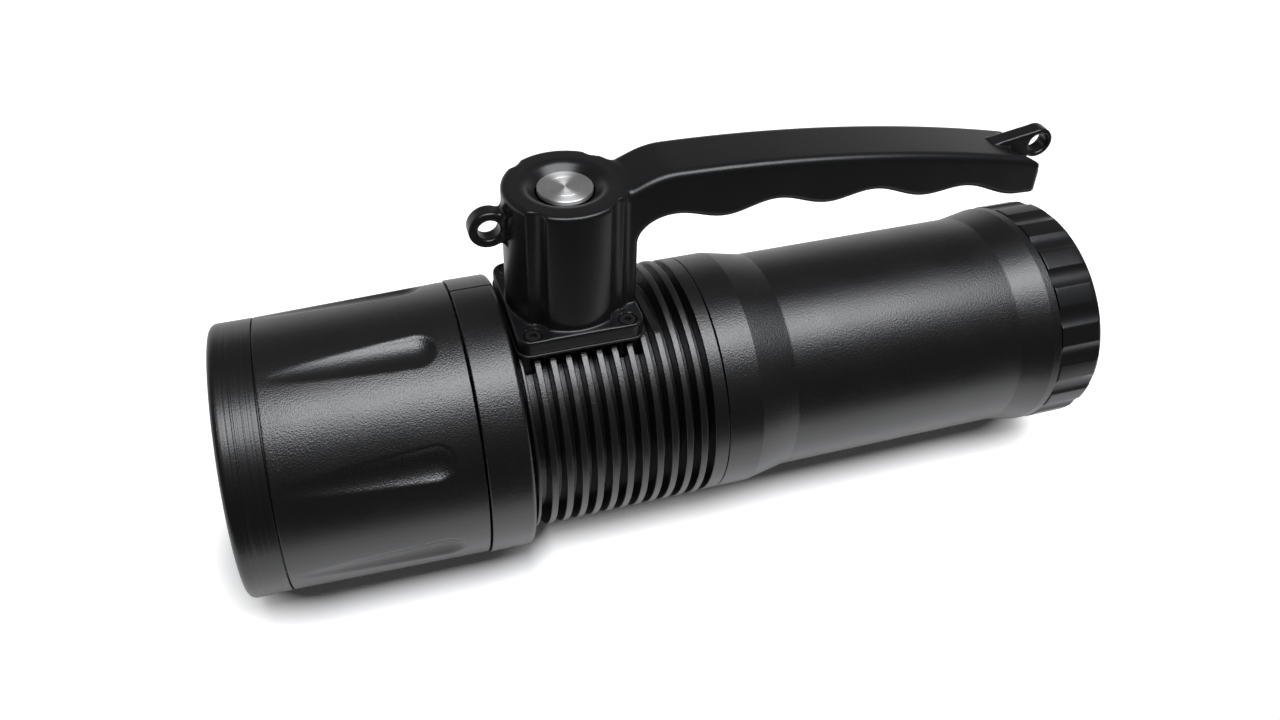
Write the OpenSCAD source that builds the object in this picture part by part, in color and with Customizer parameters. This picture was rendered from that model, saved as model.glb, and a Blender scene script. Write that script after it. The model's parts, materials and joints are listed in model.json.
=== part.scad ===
// Rechargeable hand searchlight. The optical axis runs along X, the lens faces -X and the handle
// stands on +Z. Turned pieces are drawn as [radius, station] outlines, a station being the distance
// behind the front face of the bezel. Threads are drawn as plain running cylinders.

/* [Clearances] */
// Radial gap of a piece that turns or slides in another
fit_gap = 0.08; // [0.05:0.01:0.1]
// Gap between the turning head and the collar
turn_gap = 0.6; // [0.4:0.1:1.2]
// Gap drawn at the other seams
seam_gap = 0.3; // [0.2:0.1:0.8]
// Gap that keeps loose inner pieces off their neighbours
clear_gap = 0.5; // [0.3:0.1:1]

/* [Bezel and lens] */
// Length of the head's threaded spigot inside the bezel
spigot_len = 5.5; // [4.5:0.5:9]
// Radius of the bezel's front edge
bezel_edge = 2.4; // [1:0.2:3]
// Width of the lip in front of the lens
lip_w = 2.5; // [1.5:0.1:6]
// Thickness of the lip that holds the lens
lip_t = 3; // [2:0.5:4]
// Thickness of the lens
lens_t = 4; // [3:0.5:5]
// Wall of the bezel round the lens
lens_wall = 4.5; // [4:0.1:5.5]
// Thickness of the lens gasket
gasket_t = 0.8; // [0.5:0.1:1.2]
// Wall of the bezel round the spigot
bezel_wall = 3.6; // [3:0.1:3.8]

/* [Reflector and lamp] */
// Wall of the reflector
reflector_wall = 1.2; // [0.8:0.1:1.4]
// Thickness of the reflector's flange
reflector_flange = 1.2; // [0.8:0.1:2]
// Radius of the lamp board, of the reflector's throat radius
lamp_board_share = 0.86; // [0.84:0.01:0.94]
// Thickness of every circuit board
board_t = 1.6; // [1:0.2:2]
// Side of the lamp's square base, of the reflector's throat radius
lamp_base_share = 0.5; // [0.36:0.02:0.6]
// Thickness of the lamp's base
lamp_base_t = 0.9; // [0.6:0.1:1.4]
// Diameter of the lamp's dome, of the width of its base
lamp_dome_share = 0.8; // [0.6:0.02:0.9]

/* [Head] */
// Step from the collar down to the head
head_step = 0.5; // [0:0.1:1]
// How much the head's diameter shrinks towards the bezel
head_taper = 3; // [1:0.5:4]
// Length of the head
head_len = 68.3; // [66:0.5:76]
// Wall of the head between its ends
head_wall = 4.4; // [3.8:0.2:5]
// Number of grip flutes round the head
flute_count = 8; // [6:1:10]
// Radius of the tool that cuts a flute
flute_r = 12; // [9:0.5:14]
// Depth of a flute at its round end
flute_depth = 2.4; // [1.4:0.1:2.6]
// Distance from the head's rear to a flute's round end
flute_rear = 8.8; // [6:0.4:12]
// Distance from the head's front to a flute's tip
flute_front = 6; // [4:0.5:12]
// Angle of the first flute above the near side
flute_angle = 28; // [0:1:44]
// How far the head runs out when it is turned to focus
focus_travel = 2; // [1:0.5:3]

/* [Collar] */
// Diameter of the clamp collar, which the other diameters follow
collar_d = 100; // [90:1:110]
// Length of the collar
collar_len = 15.5; // [14:0.5:18]
// Radius of the collar's rear edge
collar_edge = 2; // [1:0.2:3]
// Width of the collar's slit
slit_w = 0.8; // [0.4:0.1:1.4]
// Angle of the slit above the near side
slit_angle = 104; // [95:1:120]
// Wall of the collar, over the barrel that carries the head
collar_wall = 8; // [7.5:0.1:9]

/* [Heat sink] */
// Drop from the collar down to the fins
fin_drop = 5.3; // [4.6:0.1:6]
// Depth of the grooves between the fins
fin_depth = 6; // [5:0.1:6.2]
// Number of fins
fin_count = 11; // [8:1:11]
// Distance from fin to fin
fin_pitch = 5.42; // [4.8:0.02:5.5]
// Thickness of a fin
fin_w = 2.5; // [1.8:0.1:3]
// Distance from the collar to the middle of the first fin
fin_lead = 7.6; // [6:0.2:9]
// Length of the plain ring behind the fins
end_ring_len = 5.2; // [4:0.2:7]
// Wall of the core round the driver
core_wall = 6.2; // [5.7:0.1:7.6]
// Diameter of the wire passage to the lamp
wire_bore_d = 6; // [5:0.5:8]

/* [Battery tube] */
// Drop from the fins to the tube's front ring
ring_drop = 0.3; // [0:0.1:0.8]
// Length of the tube's front ring
tube_ring_len = 12.8; // [10:0.2:16]
// Length of the cone behind the front ring
tube_cone_len = 15; // [10:0.5:20]
// Drop from the front ring to the straight tube
tube_drop = 3; // [2.4:0.1:3.6]
// Length of the straight tube beyond the length of a cell
tube_rest = 21; // [20:1:40]
// Length of the flare before the tail cap
flare_len = 12.4; // [8:0.2:16]
// Rise from the straight tube to its rear end
tube_rise = 2.2; // [1.4:0.1:2.8]
// Length of the tube's rear end
tube_end_len = 3.4; // [2:0.2:6]
// Wall of the straight tube
tube_wall = 3.4; // [2.9:0.1:3.5]

/* [Tail cap] */
// Rise from the tube's rear end to the cap
cap_rise = 0.2; // [0:0.1:0.8]
// Length of the tail cap
cap_len = 17.8; // [15:0.2:22]
// Radius of the cap's rear edge
cap_edge = 2; // [1:0.2:3]
// Number of grip flutes round the cap
cap_flute_count = 18; // [12:1:20]
// Depth of a cap flute
cap_flute_depth = 1.1; // [0.6:0.1:1.4]
// Radius of the tool that cuts a cap flute
cap_flute_r = 9; // [7:0.5:12]
// Angle of the first land above the near side
cap_land_angle = 5; // [0:1:19]
// How far the cap runs out when it is unscrewed
cap_travel = 8; // [6:1:10]

/* [Post] */
// Gap between the collar and the base flange
flange_gap = 1.3; // [0.8:0.1:2.8]
// Diameter of the post
post_d = 42.4; // [40:0.2:43]
// Height of the post above its flange
post_h = 45.6; // [43:0.2:52]
// Radius of the post's top edge
post_edge = 1.2; // [0.6:0.2:2]
// Bore of the post
post_bore_d = 28; // [26:0.5:30]
// How far the flange stands out before and behind the post
flange_lip = 1; // [0.8:0.1:1.6]
// How far the flange stands out beside the post
flange_side = 2; // [1.6:0.1:2.6]
// Thickness of the base flange
flange_t = 5.6; // [4.6:0.2:6.2]
// Drop from the collar's top to the flange's top
flange_drop = 1; // [0:0.1:1.4]
// Corner radius of the flange
flange_corner = 5; // [3:0.5:7]
// Thickness of the gasket under the flange
base_gasket_t = 0.8; // [0.5:0.1:1.2]
// Distance from the base screws to the flange's front and rear
screw_inset_len = 5.7; // [5.4:0.1:6.2]
// Distance from the base screws to the flange's sides
screw_inset_w = 3.85; // [3.75:0.05:4.4]
// Radius of the groove that clears a screw's key
key_groove_r = 5.7; // [5:0.1:6.2]

/* [Grip] */
// Width of the grip
grip_w = 23.2; // [20:0.2:26]
// Height of the grip's crown above the post
crown_rise = 4.4; // [2.4:0.2:7.4]
// Distance from the post to the crown
crown_reach = 8.8; // [6.8:0.2:11.8]
// Slope of the ramp from the post's top up to the crown
ramp_angle = 24; // [20:1:28]
// Radius of the grip's long top curve
crown_r = 603; // [580:1:700]
// Distance from the button's axis to the grip's end
grip_len = 175.5; // [165:0.5:190]
// Radius along the grip's top edges
grip_edge = 2.8; // [1.5:0.1:4]
// Distance from the last finger bump to the grip's end
bump_rest = 10.4; // [8:0.2:14]
// Distance from the button's axis to the first finger bump
bump_lead = 53.2; // [51:0.1:55]
// Thickness of the grip at the first finger bump
bump_t = 19.8; // [18:0.2:21]
// Thickness of the grip at the last finger bump
bump_end_t = 15.8; // [15:0.2:18]
// Thickness of the grip at the first finger hollow
hollow_t = 15.8; // [14:0.2:17]
// Thickness of the grip at the last finger hollow
hollow_end_t = 12.4; // [12:0.2:14]

/* [Strap lugs] */
// Diameter of the holes in both lugs
lug_hole_d = 7.6; // [6.6:0.1:8]
// Thickness of both lugs
lug_t = 6; // [5:0.2:7]
// Wall of the front lug round its hole
front_lug_wall = 3; // [2.4:0.1:4]
// Distance from the post to the front lug's hole
front_lug_reach = 5.1; // [4.8:0.1:6]
// Drop from the post's top to the front lug's hole
front_lug_drop = 12.6; // [11:0.2:18]
// Wall of the rear lug round its hole
rear_lug_wall = 2; // [1.8:0.1:2.4]
// Distance from the grip's end to the rear lug's hole
rear_lug_reach = 3.1; // [2.5:0.1:4.5]
// Rise of the rear lug's hole above the grip's long curve
rear_lug_rise = 2.4; // [1.6:0.1:3.4]

/* [Switch] */
// Diameter of the switch's steel head
switch_head_d = 18.8; // [18:0.2:20]
// Thickness of the switch's head
switch_head_t = 1.6; // [1.2:0.1:2]
// Width of the rim of the switch's head round its threaded barrel
switch_rim = 1.4; // [1:0.1:1.8]
// Length of the switch's barrel below its head
switch_barrel_len = 21; // [18:0.5:24]
// Diameter of the push button
button_d = 11.3; // [10:0.1:12]
// Travel of the push button
button_travel = 2; // [1:0.1:2.4]
// Depth of the button's face below the post's top
button_depth = 1.5; // [1:0.1:2]
// Width of the recess's floor round the switch's head
recess_rim = 2.7; // [2:0.1:3.1]
// How far the recess widens up to the post's top
recess_flare = 1.9; // [0.5:0.1:2.4]
// Thickness of the sealing washer under the head
washer_t = 0.9; // [0.6:0.1:1.2]

/* [Screws] */
// Diameter of the cap screws' shanks
screw_d = 3; // [2.5:0.1:3.4]
// Diameter of the cap screws' heads
screw_head_d = 5.5; // [5:0.1:5.8]
// Height of the cap screws' heads
screw_head_t = 3; // [2.4:0.1:3.2]
// Width across the flats of the screws' sockets
screw_socket_w = 2.5; // [2:0.1:2.8]
// Length of the base screws' shanks
base_screw_len = 10; // [8:0.5:11]

/* [Battery pack] */
// Room between the cells and the pack's sleeve
cell_room = 3.82; // [1:0.02:6]
// Length of one cell
cell_len = 70; // [60:0.5:80]
// Gap between the pack's sleeve and the tube
sleeve_gap = 1.2; // [0.6:0.1:2]
// Wall of the pack's sleeve
sleeve_wall = 1.4; // [1:0.1:2]
// Thickness of the pack's front plate
front_plate_t = 5; // [4:0.5:6]
// Thickness of the pack's rear plate
rear_plate_t = 8; // [6:0.5:9]
// Thickness of the pack's nickel strips
strip_t = 0.5; // [0.3:0.1:0.8]

/* [Hidden] */

// Smoothness of round pieces and how far cuts run past a face
round_fn = 96;
small_fn = 32;
over = 1;
edge_steps = 6;

// Diameters along the lamp
head_rear_d = collar_d - 2 * head_step;
head_front_d = head_rear_d - head_taper;
bezel_d = head_front_d;
lens_d = bezel_d - 2 * lens_wall;
aperture_d = lens_d - 2 * lip_w;
spigot_d = bezel_d - 2 * bezel_wall;
barrel_d = collar_d - 2 * collar_wall;
fin_d = collar_d - 2 * fin_drop;
core_d = fin_d - 2 * fin_depth;
driver_bore_d = core_d - 2 * core_wall;
bulkhead_step = 1.5;
bulkhead_d = driver_bore_d + 2 * bulkhead_step;
tube_ring_d = fin_d - 2 * ring_drop;
tube_d = tube_ring_d - 2 * tube_drop;
tube_end_d = tube_d + 2 * tube_rise;
tube_bore_d = tube_d - 2 * tube_wall;
cap_d = tube_end_d + 2 * cap_rise;

// Base flange
flange_len = post_d + 2 * flange_lip;
flange_w = post_d + 2 * flange_side;
screw_span_len = flange_len - 2 * screw_inset_len;
screw_span_w = flange_w - 2 * screw_inset_w;

// Stations along the axis
gasket_s = lip_t;
lens_s = gasket_s + gasket_t;
reflector_s = lens_s + lens_t;
spigot_s = reflector_s + reflector_flange;
head_front_s = spigot_s + spigot_len;
collar_front_s = head_front_s + head_len;
collar_rear_s = collar_front_s + collar_len;
post_s = collar_rear_s + flange_gap + flange_len / 2;
fin_first_s = collar_rear_s + fin_lead;
end_ring_s = fin_first_s + fin_count * fin_pitch - fin_w / 2;
sink_rear_s = end_ring_s + end_ring_len;
cone_s = sink_rear_s + tube_ring_len;
tube_s = cone_s + tube_cone_len;
flare_s = tube_s + cell_len + tube_rest;
tube_end_s = flare_s + flare_len;
cap_s = tube_end_s + tube_end_len;
overall_len = cap_s + cap_len;
axis_z = collar_d / 2;
post_x = post_s - overall_len / 2;

// Barrel
barrel_front_len = 10;
barrel_s = collar_front_s - barrel_front_len;

// Reflector
spigot_wall = 1.8;
mirror_gap = 0.4;
mouth_r = spigot_d / 2 - spigot_wall - mirror_gap - reflector_wall;
vertex_gap = 3.8;
vertex_s = barrel_s - vertex_gap;
focal_len = pow(mouth_r, 2) / (4 * (vertex_s - spigot_s));
throat_s = vertex_s - focal_len;
throat_r = 2 * focal_len;
reflector_steps = 24;
bezel_seal_t = 1.4;
bezel_seal_lead = 3.2;

// Lamp
lamp_board_d = 2 * throat_r * lamp_board_share;
lamp_base_w = throat_r * lamp_base_share;
lamp_dome_d = lamp_base_w * lamp_dome_share;
lamp_face_s = throat_s + lamp_base_t;
pedestal_s = lamp_face_s + board_t;
pedestal_d = 34;
lamp_screw_d = 2;
lamp_screw_head_d = 3.8;
lamp_screw_head_t = 1.4;
lamp_screw_socket_w = 1.3;
lamp_screw_len = 5;
lamp_screw_share = 0.64;
lamp_screw_lead = throat_r * lamp_screw_share;
lead_d = 1.6;
lead_span = 2.4;
wire_lead = 8;

// Head
head_edge = 0.5;
head_bore_len = 10.5;
head_bore_s = collar_front_s - head_bore_len;
head_seal_t = 1.7;
seal_land = 3;
head_seal_lead = barrel_front_len - focus_travel - seal_land;

// Collar screw
collar_screw_len = 12;
collar_seat_lead = 5;

// Heat sink
flange_top_h = collar_d / 2 - flange_drop;
fin_chamfer = 0.5;
tube_spigot_len = 11.5;
tube_spigot_d = tube_bore_d - 2 * fit_gap;
tube_spigot_end_s = sink_rear_s + tube_spigot_len;
driver_bore_lead = 2;
driver_bore_s = collar_front_s + driver_bore_lead;
tube_seal_lead = 3;
seal_t = 1.6;
plinth_top_h = flange_top_h - flange_t - base_gasket_t;
plinth_low_h = sqrt(pow(core_d / 2, 2) - pow(flange_w / 2, 2)) - over;
switch_wire_bore_d = 13;

// Driver
driver_post_d = 6;
driver_post_len = 6;
driver_post_share = 0.37;
driver_post_lead = driver_bore_d * driver_post_share;
driver_post_count = 3;
driver_post_turn = 60;
driver_board_s = driver_bore_s + driver_post_len;
driver_rear_s = driver_board_s + board_t;
driver_screw_len = 5;
coil_share = 0.4;
coil_d = driver_bore_d * coil_share;
coil_wire_share = 0.3;
coil_wire_d = coil_d * coil_wire_share;
coil_drop_share = 0.18;
coil_drop = driver_bore_d * coil_drop_share;
capacitor_share = 0.15;
capacitor_d = driver_bore_d * capacitor_share;
capacitor_len = 16;
capacitor_span_share = 0.34;
capacitor_span = driver_bore_d * capacitor_span_share;
capacitor_rise_share = 0.15;
capacitor_rise = driver_bore_d * capacitor_rise_share;

// Bulkhead and its contact
bulkhead_t = 3;
bulkhead_ring_t = 2.5;
bulkhead_ring_w = 5;
bulkhead_ring_bore_d = bulkhead_d - 2 * bulkhead_ring_w;
bulkhead_s = tube_spigot_end_s - bulkhead_ring_t - bulkhead_t;
bush_d = 12;
bush_flange_d = 18;
bush_flange_t = 2;
contact_d = 6;
contact_tail_len = 6;

// Battery pack
pack_lead = 5;
sleeve_d = tube_bore_d - 2 * sleeve_gap;
sleeve_bore_d = sleeve_d - 2 * sleeve_wall;
cell_d = (sleeve_bore_d - 2 * cell_room - 2 * fit_gap) / 3;
pack_s = tube_spigot_end_s + pack_lead;
cells_s = pack_s + front_plate_t + strip_t;
strip_rear_s = cells_s + cell_len;
pack_board_space = 3;
pack_board_s = strip_rear_s + strip_t + pack_board_space;
rear_plate_s = pack_board_s + board_t;
pack_end_s = rear_plate_s + rear_plate_t;
cell_ring_lead = cell_d + fit_gap;
cell_ring_count = 6;
cell_edge = 1;
strip_w = 8;
pad_d = 16;
pad_t = 1.5;
socket_d = 11;
socket_bore_d = 5.6;
socket_pin_d = 2;
socket_share = 0.31;
socket_lead = sleeve_bore_d * socket_share;
socket_rim_t = 1;
socket_pin_len = 5;

// Tail cap
cap_thread_rest = 6;
cap_thread_s = cap_s - cap_travel - cap_thread_rest;
cap_spigot_wall = 5;
cap_recess_d = tube_bore_d - 2 * cap_spigot_wall;
cap_wall_t = 8;
cap_floor_s = overall_len - cap_wall_t;
board_seat_w = 2;
tail_board_lead = 7;
tail_board_s = cap_thread_s + tail_board_lead;
tail_ring_t = 3;
tail_ring_w = 4;
tail_ring_bore_d = cap_recess_d - 2 * tail_ring_w;
tail_spring_d = 18;
tail_spring_wall = 1.4;
tail_seal_lead = 4.5;
touch_gap = 0.3;

// Post and base
post_top_h = flange_top_h + post_h;
foot_edge = 1;
screw_gap = 0.15;
counterbore_gap = 0.4;
counterbore_rest = 0.3;
screw_seat_h = flange_top_h - screw_head_t - counterbore_rest;

// Switch
switch_barrel_d = switch_head_d - 2 * switch_rim;
recess_floor_d = switch_head_d + 2 * recess_rim;
recess_d = recess_floor_d + 2 * recess_flare;
disc_top_h = post_top_h - button_depth;
head_low_h = disc_top_h - switch_head_t;
recess_floor_h = head_low_h - washer_t;
recess_t = post_top_h - recess_floor_h;
panel_t = 6.6;
panel_low_h = recess_floor_h - panel_t;
barrel_low_h = head_low_h - switch_barrel_len;
nut_t = 3.5;
nut_rim = 1.5;
nut_w = switch_barrel_d + 2 * nut_rim;
button_len = 4.5;
button_edge = 0.3;
button_low_h = disc_top_h - button_len;
button_pocket_h = button_low_h - 2 * button_travel;
spring_wall = 0.8;
spring_inset = 1.15;
spring_d = button_d - 2 * spring_inset;
terminal_w = 2.8;
terminal_t = 0.6;
terminal_len = 6;
terminal_span = 6;
switch_lead_h = 18;

// Grip
crown_h = post_top_h + crown_rise;
crown_lead = post_d / 2 + crown_reach;
web_lead = flange_len / 2;
grip_steps = 8;
bump_count = 4;
bump_pitch = (grip_len - bump_lead - bump_rest) / (bump_count - 1);
arch_rise = 9.5;
grip_corner = 3.6;

// Height of the grip's top curve at a distance from the button's axis
function crown(x) = crown_h - crown_r + sqrt(pow(crown_r, 2) - pow(x - crown_lead, 2));

// Pocket at the grip's end and the strap lugs
pocket_wall = 1;
pocket_d = grip_w - 2 * pocket_wall;
pocket_reach = 1.5;
pocket_lead = grip_len + pocket_reach;
pocket_drop = 3.4;
pocket_h = crown(pocket_lead) - pocket_drop;
tongue_len = 11.5;
tongue_lead = grip_len - tongue_len;
tongue_drop = 3;
front_lug_r = lug_hole_d / 2 + front_lug_wall;
front_lug_lead = post_d / 2 + front_lug_reach;
front_lug_h = post_top_h - front_lug_drop;
rear_lug_r = lug_hole_d / 2 + rear_lug_wall;
rear_lug_lead = grip_len + rear_lug_reach;
rear_lug_h = crown(rear_lug_lead) + rear_lug_rise;
lug_flare = 2.4;
lug_root = 4.2;
lug_root_lead = post_d / 2 - lug_root;

// Places a child whose Z is the station along the optical axis
module at_axis() {
    translate([-overall_len / 2, 0, axis_z])
        rotate([0, 90, 0])
            children();
}

// Turns a child round the axis, to an angle above the near side
module at_angle(a) {
    rotate([0, 0, -90 - a])
        children();
}

// Places a child at the button's axis, with Z measured from the optical axis
module at_post() {
    translate([post_x, 0, axis_z])
        children();
}

// A turned piece from its [radius, station] outline
module turned(outline) {
    at_axis()
        rotate_extrude($fn = round_fn)
            polygon(outline);
}

// A plain ring between two stations, or a disc where the inner diameter is zero
module ring(outer_d, inner_d, front_s, rear_s) {
    outer_r = outer_d / 2;
    inner_r = inner_d / 2;
    turned([[inner_r, front_s], [outer_r, front_s], [outer_r, rear_s], [inner_r, rear_s]]);
}

// A rubber ring of round section, drawn free of the groove and the bore
module seal_ring(middle_r, section_d, s) {
    at_axis()
        translate([0, 0, s])
            rotate_extrude($fn = round_fn)
                translate([middle_r, 0])
                    circle(d = section_d, $fn = small_fn);
}

// Points of an arc
function arc(x, y, r, from, to, steps) =
    [for (i = [0 : steps]) let (a = from + (to - from) * i / steps) [x + r * cos(a), y + r * sin(a)]];

// Bezel group

module bezel_ring() {
    bore_r = spigot_d / 2 + fit_gap;
    outline = concat(
        [[aperture_d / 2, bezel_edge / 2], [aperture_d / 2 + bezel_edge / 2, 0]],
        arc(bezel_d / 2 - bezel_edge, bezel_edge, bezel_edge, -90, 0, edge_steps),
        [[bezel_d / 2, head_front_s], [bore_r, head_front_s], [bore_r, lip_t], [aperture_d / 2, lip_t]]
    );
    color("#2b2c2e")
        turned(outline);
}

module lens_gasket() {
    color("#141414")
        ring(lens_d, aperture_d, gasket_s, lens_s);
}

module lens() {
    color("#dfe7ea")
        ring(lens_d, 0, lens_s, reflector_s);
}

module bezel_seal() {
    color("#141414")
        seal_ring(spigot_d / 2 - bezel_seal_t / 2, bezel_seal_t, spigot_s + bezel_seal_lead);
}

// Radius of the reflector's face at a station
function mirror_r(s) = sqrt(4 * focal_len * (vertex_s - s));

module reflector() {
    inner = [
        for (i = [0 : reflector_steps])
            let (s = spigot_s + (throat_s - spigot_s) * i / reflector_steps) [mirror_r(s), s]
    ];
    outer = [for (i = [reflector_steps : -1 : 0]) [inner[i][0] + reflector_wall, inner[i][1]]];
    flange = [[lens_d / 2, spigot_s], [lens_d / 2, reflector_s], [mouth_r, reflector_s]];
    color("#d8dadd")
        turned(concat(inner, outer, flange));
}

// Head

// One tear-drop flute: a ball-ended cutter that runs out of the surface towards the bezel
module flute_cutter() {
    rear_s = collar_front_s - flute_rear;
    plan_r = sqrt(2 * flute_r * flute_depth - pow(flute_depth, 2));
    ball_s = rear_s - plan_r;
    tip_s = head_front_s + flute_front;
    ball_r = head_rear_d / 2 - flute_depth + flute_r;
    tip_r = head_front_d / 2 + flute_r;
    run = ball_s - tip_s;
    tilt = atan2(tip_r - ball_r, run);
    translate([ball_r, 0, ball_s]) {
        sphere(r = flute_r, $fn = round_fn);
        rotate([0, 180 + tilt, 0])
            cylinder(r = flute_r, h = run + 2 * flute_r, $fn = round_fn);
    }
}

module head_shell() {
    bore_r = barrel_d / 2 + fit_gap;
    inner_r = head_front_d / 2 - head_wall;
    rear_s = collar_front_s - turn_gap;
    neck_r = spigot_d / 2 - spigot_wall;
    groove_r = barrel_d / 2 + head_seal_t + 2 * fit_gap;
    groove_s = collar_front_s - head_seal_lead;
    groove_half = head_seal_t / 2 + fit_gap;
    seal_s = spigot_s + bezel_seal_lead;
    seal_r = spigot_d / 2 - bezel_seal_t;
    seal_half = bezel_seal_t / 2 + fit_gap;
    outline = [
        [neck_r, spigot_s], [spigot_d / 2, spigot_s],
        [spigot_d / 2, seal_s - seal_half], [seal_r, seal_s - seal_half],
        [seal_r, seal_s + seal_half], [spigot_d / 2, seal_s + seal_half],
        [spigot_d / 2, head_front_s + seam_gap],
        [head_front_d / 2 - head_edge, head_front_s + seam_gap],
        [head_front_d / 2, head_front_s + seam_gap + head_edge],
        [head_rear_d / 2, rear_s - head_edge], [head_rear_d / 2 - head_edge, rear_s], [bore_r, rear_s],
        [bore_r, groove_s + groove_half], [groove_r, groove_s + groove_half],
        [groove_r, groove_s - groove_half], [bore_r, groove_s - groove_half],
        [bore_r, head_bore_s], [inner_r, head_bore_s - spigot_wall],
        [inner_r, head_front_s + bezel_seal_lead + spigot_wall], [neck_r, head_front_s + bezel_seal_lead],
    ];
    color("#36383b")
        difference() {
            turned(outline);
            at_axis()
                for (i = [0 : flute_count - 1])
                    at_angle(flute_angle + i * 360 / flute_count)
                        flute_cutter();
        }
}

module head_seal() {
    color("#141414")
        seal_ring(barrel_d / 2 + fit_gap + head_seal_t / 2, head_seal_t, collar_front_s - head_seal_lead);
}

// Collar

// Axis of the clamp screw: across the slit, at the middle of the collar's wall
module at_clamp() {
    at_axis()
        at_angle(slit_angle)
            translate([(barrel_d + collar_wall) / 2, 0, (collar_front_s + collar_rear_s) / 2])
                rotate([-90, 0, 0])
                    children();
}

module collar() {
    outer_r = collar_d / 2;
    bore_r = barrel_d / 2 + fit_gap;
    outline = concat(
        [[bore_r, collar_front_s], [outer_r - head_edge, collar_front_s]],
        [[outer_r, collar_front_s + head_edge]],
        arc(outer_r - collar_edge, collar_rear_s - collar_edge, collar_edge, 0, 90, edge_steps),
        [[bore_r, collar_rear_s]]
    );
    head_r = screw_head_d / 2 + counterbore_gap;
    color("#36383b")
        difference() {
            turned(outline);
            at_axis()
                at_angle(slit_angle)
                    translate([barrel_d / 2 - over, -slit_w / 2, collar_front_s - over])
                        cube([collar_wall + 2 * over, slit_w, collar_len + 2 * over]);
            at_clamp() {
                translate([0, 0, -collar_screw_len])
                    cylinder(d = screw_d + 2 * screw_gap, h = 2 * collar_screw_len, $fn = small_fn);
                translate([0, 0, -collar_seat_lead - collar_d / 2])
                    cylinder(r = head_r, h = collar_d / 2, $fn = small_fn);
            }
        }
}

// A socket-head screw, its head's underside at zero and its shank along +Z
module socket_screw(len, shank_d, head_d, head_t, socket_w) {
    difference() {
        union() {
            translate([0, 0, -head_t])
                cylinder(d = head_d, h = head_t, $fn = small_fn);
            cylinder(d = shank_d, h = len, $fn = small_fn);
        }
        translate([0, 0, -head_t - over])
            cylinder(d = socket_w / cos(30), h = over + head_t / 2, $fn = 6);
    }
}

// The cap screw used on the outside
module cap_screw(len) {
    socket_screw(len, screw_d, screw_head_d, screw_head_t, screw_socket_w);
}

module collar_screw() {
    color("#1c1d1f")
        at_clamp()
            translate([0, 0, -collar_seat_lead])
                cap_screw(collar_screw_len);
}

// Heat sink

// One fin of the comb outline
function fin_points(s) = [
    [core_d / 2, s - fin_w / 2], [fin_d / 2 - fin_chamfer, s - fin_w / 2],
    [fin_d / 2, s - fin_w / 2 + fin_chamfer], [fin_d / 2, s + fin_w / 2 - fin_chamfer],
    [fin_d / 2 - fin_chamfer, s + fin_w / 2], [core_d / 2, s + fin_w / 2]
];

// The flange's outline: a rectangle with true round corners
module flange_outline(grow = 0) {
    half_l = flange_len / 2 + grow;
    half_w = flange_w / 2 + grow;
    square([2 * (half_l - flange_corner), 2 * half_w], center = true);
    square([2 * half_l, 2 * (half_w - flange_corner)], center = true);
    for (x = [-1, 1])
        for (y = [-1, 1])
            translate([x * (half_l - flange_corner), y * (half_w - flange_corner)])
                circle(r = flange_corner, $fn = small_fn);
}

// Repeats a child at the four base screws
module at_base_screws() {
    for (x = [-1, 1])
        for (y = [-1, 1])
            translate([x * screw_span_len / 2, y * screw_span_w / 2, 0])
                children();
}

module heat_sink() {
    groove_s = sink_rear_s + tube_seal_lead;
    groove_half = seal_t / 2 + fit_gap;
    groove_r = tube_spigot_d / 2 - seal_t;
    fins = [for (i = [0 : fin_count - 1]) each fin_points(fin_first_s + i * fin_pitch)];
    outline = concat(
        [[0, pedestal_s], [pedestal_d / 2, pedestal_s], [pedestal_d / 2, barrel_s]],
        [[barrel_d / 2, barrel_s], [barrel_d / 2, collar_rear_s], [core_d / 2, collar_rear_s]],
        fins,
        [[core_d / 2, end_ring_s], [tube_ring_d / 2 - fin_chamfer, end_ring_s],
         [tube_ring_d / 2, end_ring_s + fin_chamfer], [tube_ring_d / 2, sink_rear_s],
         [tube_spigot_d / 2, sink_rear_s],
         [tube_spigot_d / 2, groove_s - groove_half], [groove_r, groove_s - groove_half],
         [groove_r, groove_s + groove_half], [tube_spigot_d / 2, groove_s + groove_half],
         [tube_spigot_d / 2, tube_spigot_end_s], [bulkhead_d / 2, tube_spigot_end_s],
         [bulkhead_d / 2, bulkhead_s], [driver_bore_d / 2, bulkhead_s],
         [driver_bore_d / 2, driver_bore_s], [0, driver_bore_s]]
    );
    color("#303234")
        difference() {
            union() {
                turned(outline);
                at_post()
                    translate([0, 0, plinth_low_h])
                        linear_extrude(plinth_top_h - plinth_low_h)
                            flange_outline();
            }
            at_post() {
                translate([0, 0, plinth_top_h])
                    linear_extrude(fin_d)
                        flange_outline(grow = seam_gap);
                cylinder(d = switch_wire_bore_d, h = fin_d, $fn = small_fn);
                at_base_screws()
                    translate([0, 0, screw_seat_h - base_screw_len - over])
                        cylinder(d = screw_d, h = base_screw_len + fin_d, $fn = small_fn);
            }
            at_axis() {
                translate([0, wire_lead, pedestal_s - over])
                    cylinder(d = wire_bore_d, h = driver_bore_s - pedestal_s + 2 * over, $fn = small_fn);
                at_lamp_screws()
                    translate([0, 0, pedestal_s - over])
                        cylinder(d = lamp_screw_d, h = lamp_screw_len + over, $fn = small_fn);
            }
        }
}

// Lamp

// Repeats a child at the two lamp screws
module at_lamp_screws() {
    for (x = [-1, 1])
        translate([x * lamp_screw_lead, 0, 0])
            children();
}

module lamp_board() {
    color("#e8e9ea")
        difference() {
            ring(lamp_board_d, 0, lamp_face_s, pedestal_s);
            at_axis()
                at_lamp_screws()
                    translate([0, 0, lamp_face_s - over])
                        cylinder(d = lamp_screw_d, h = board_t + 2 * over, $fn = small_fn);
        }
}

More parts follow.
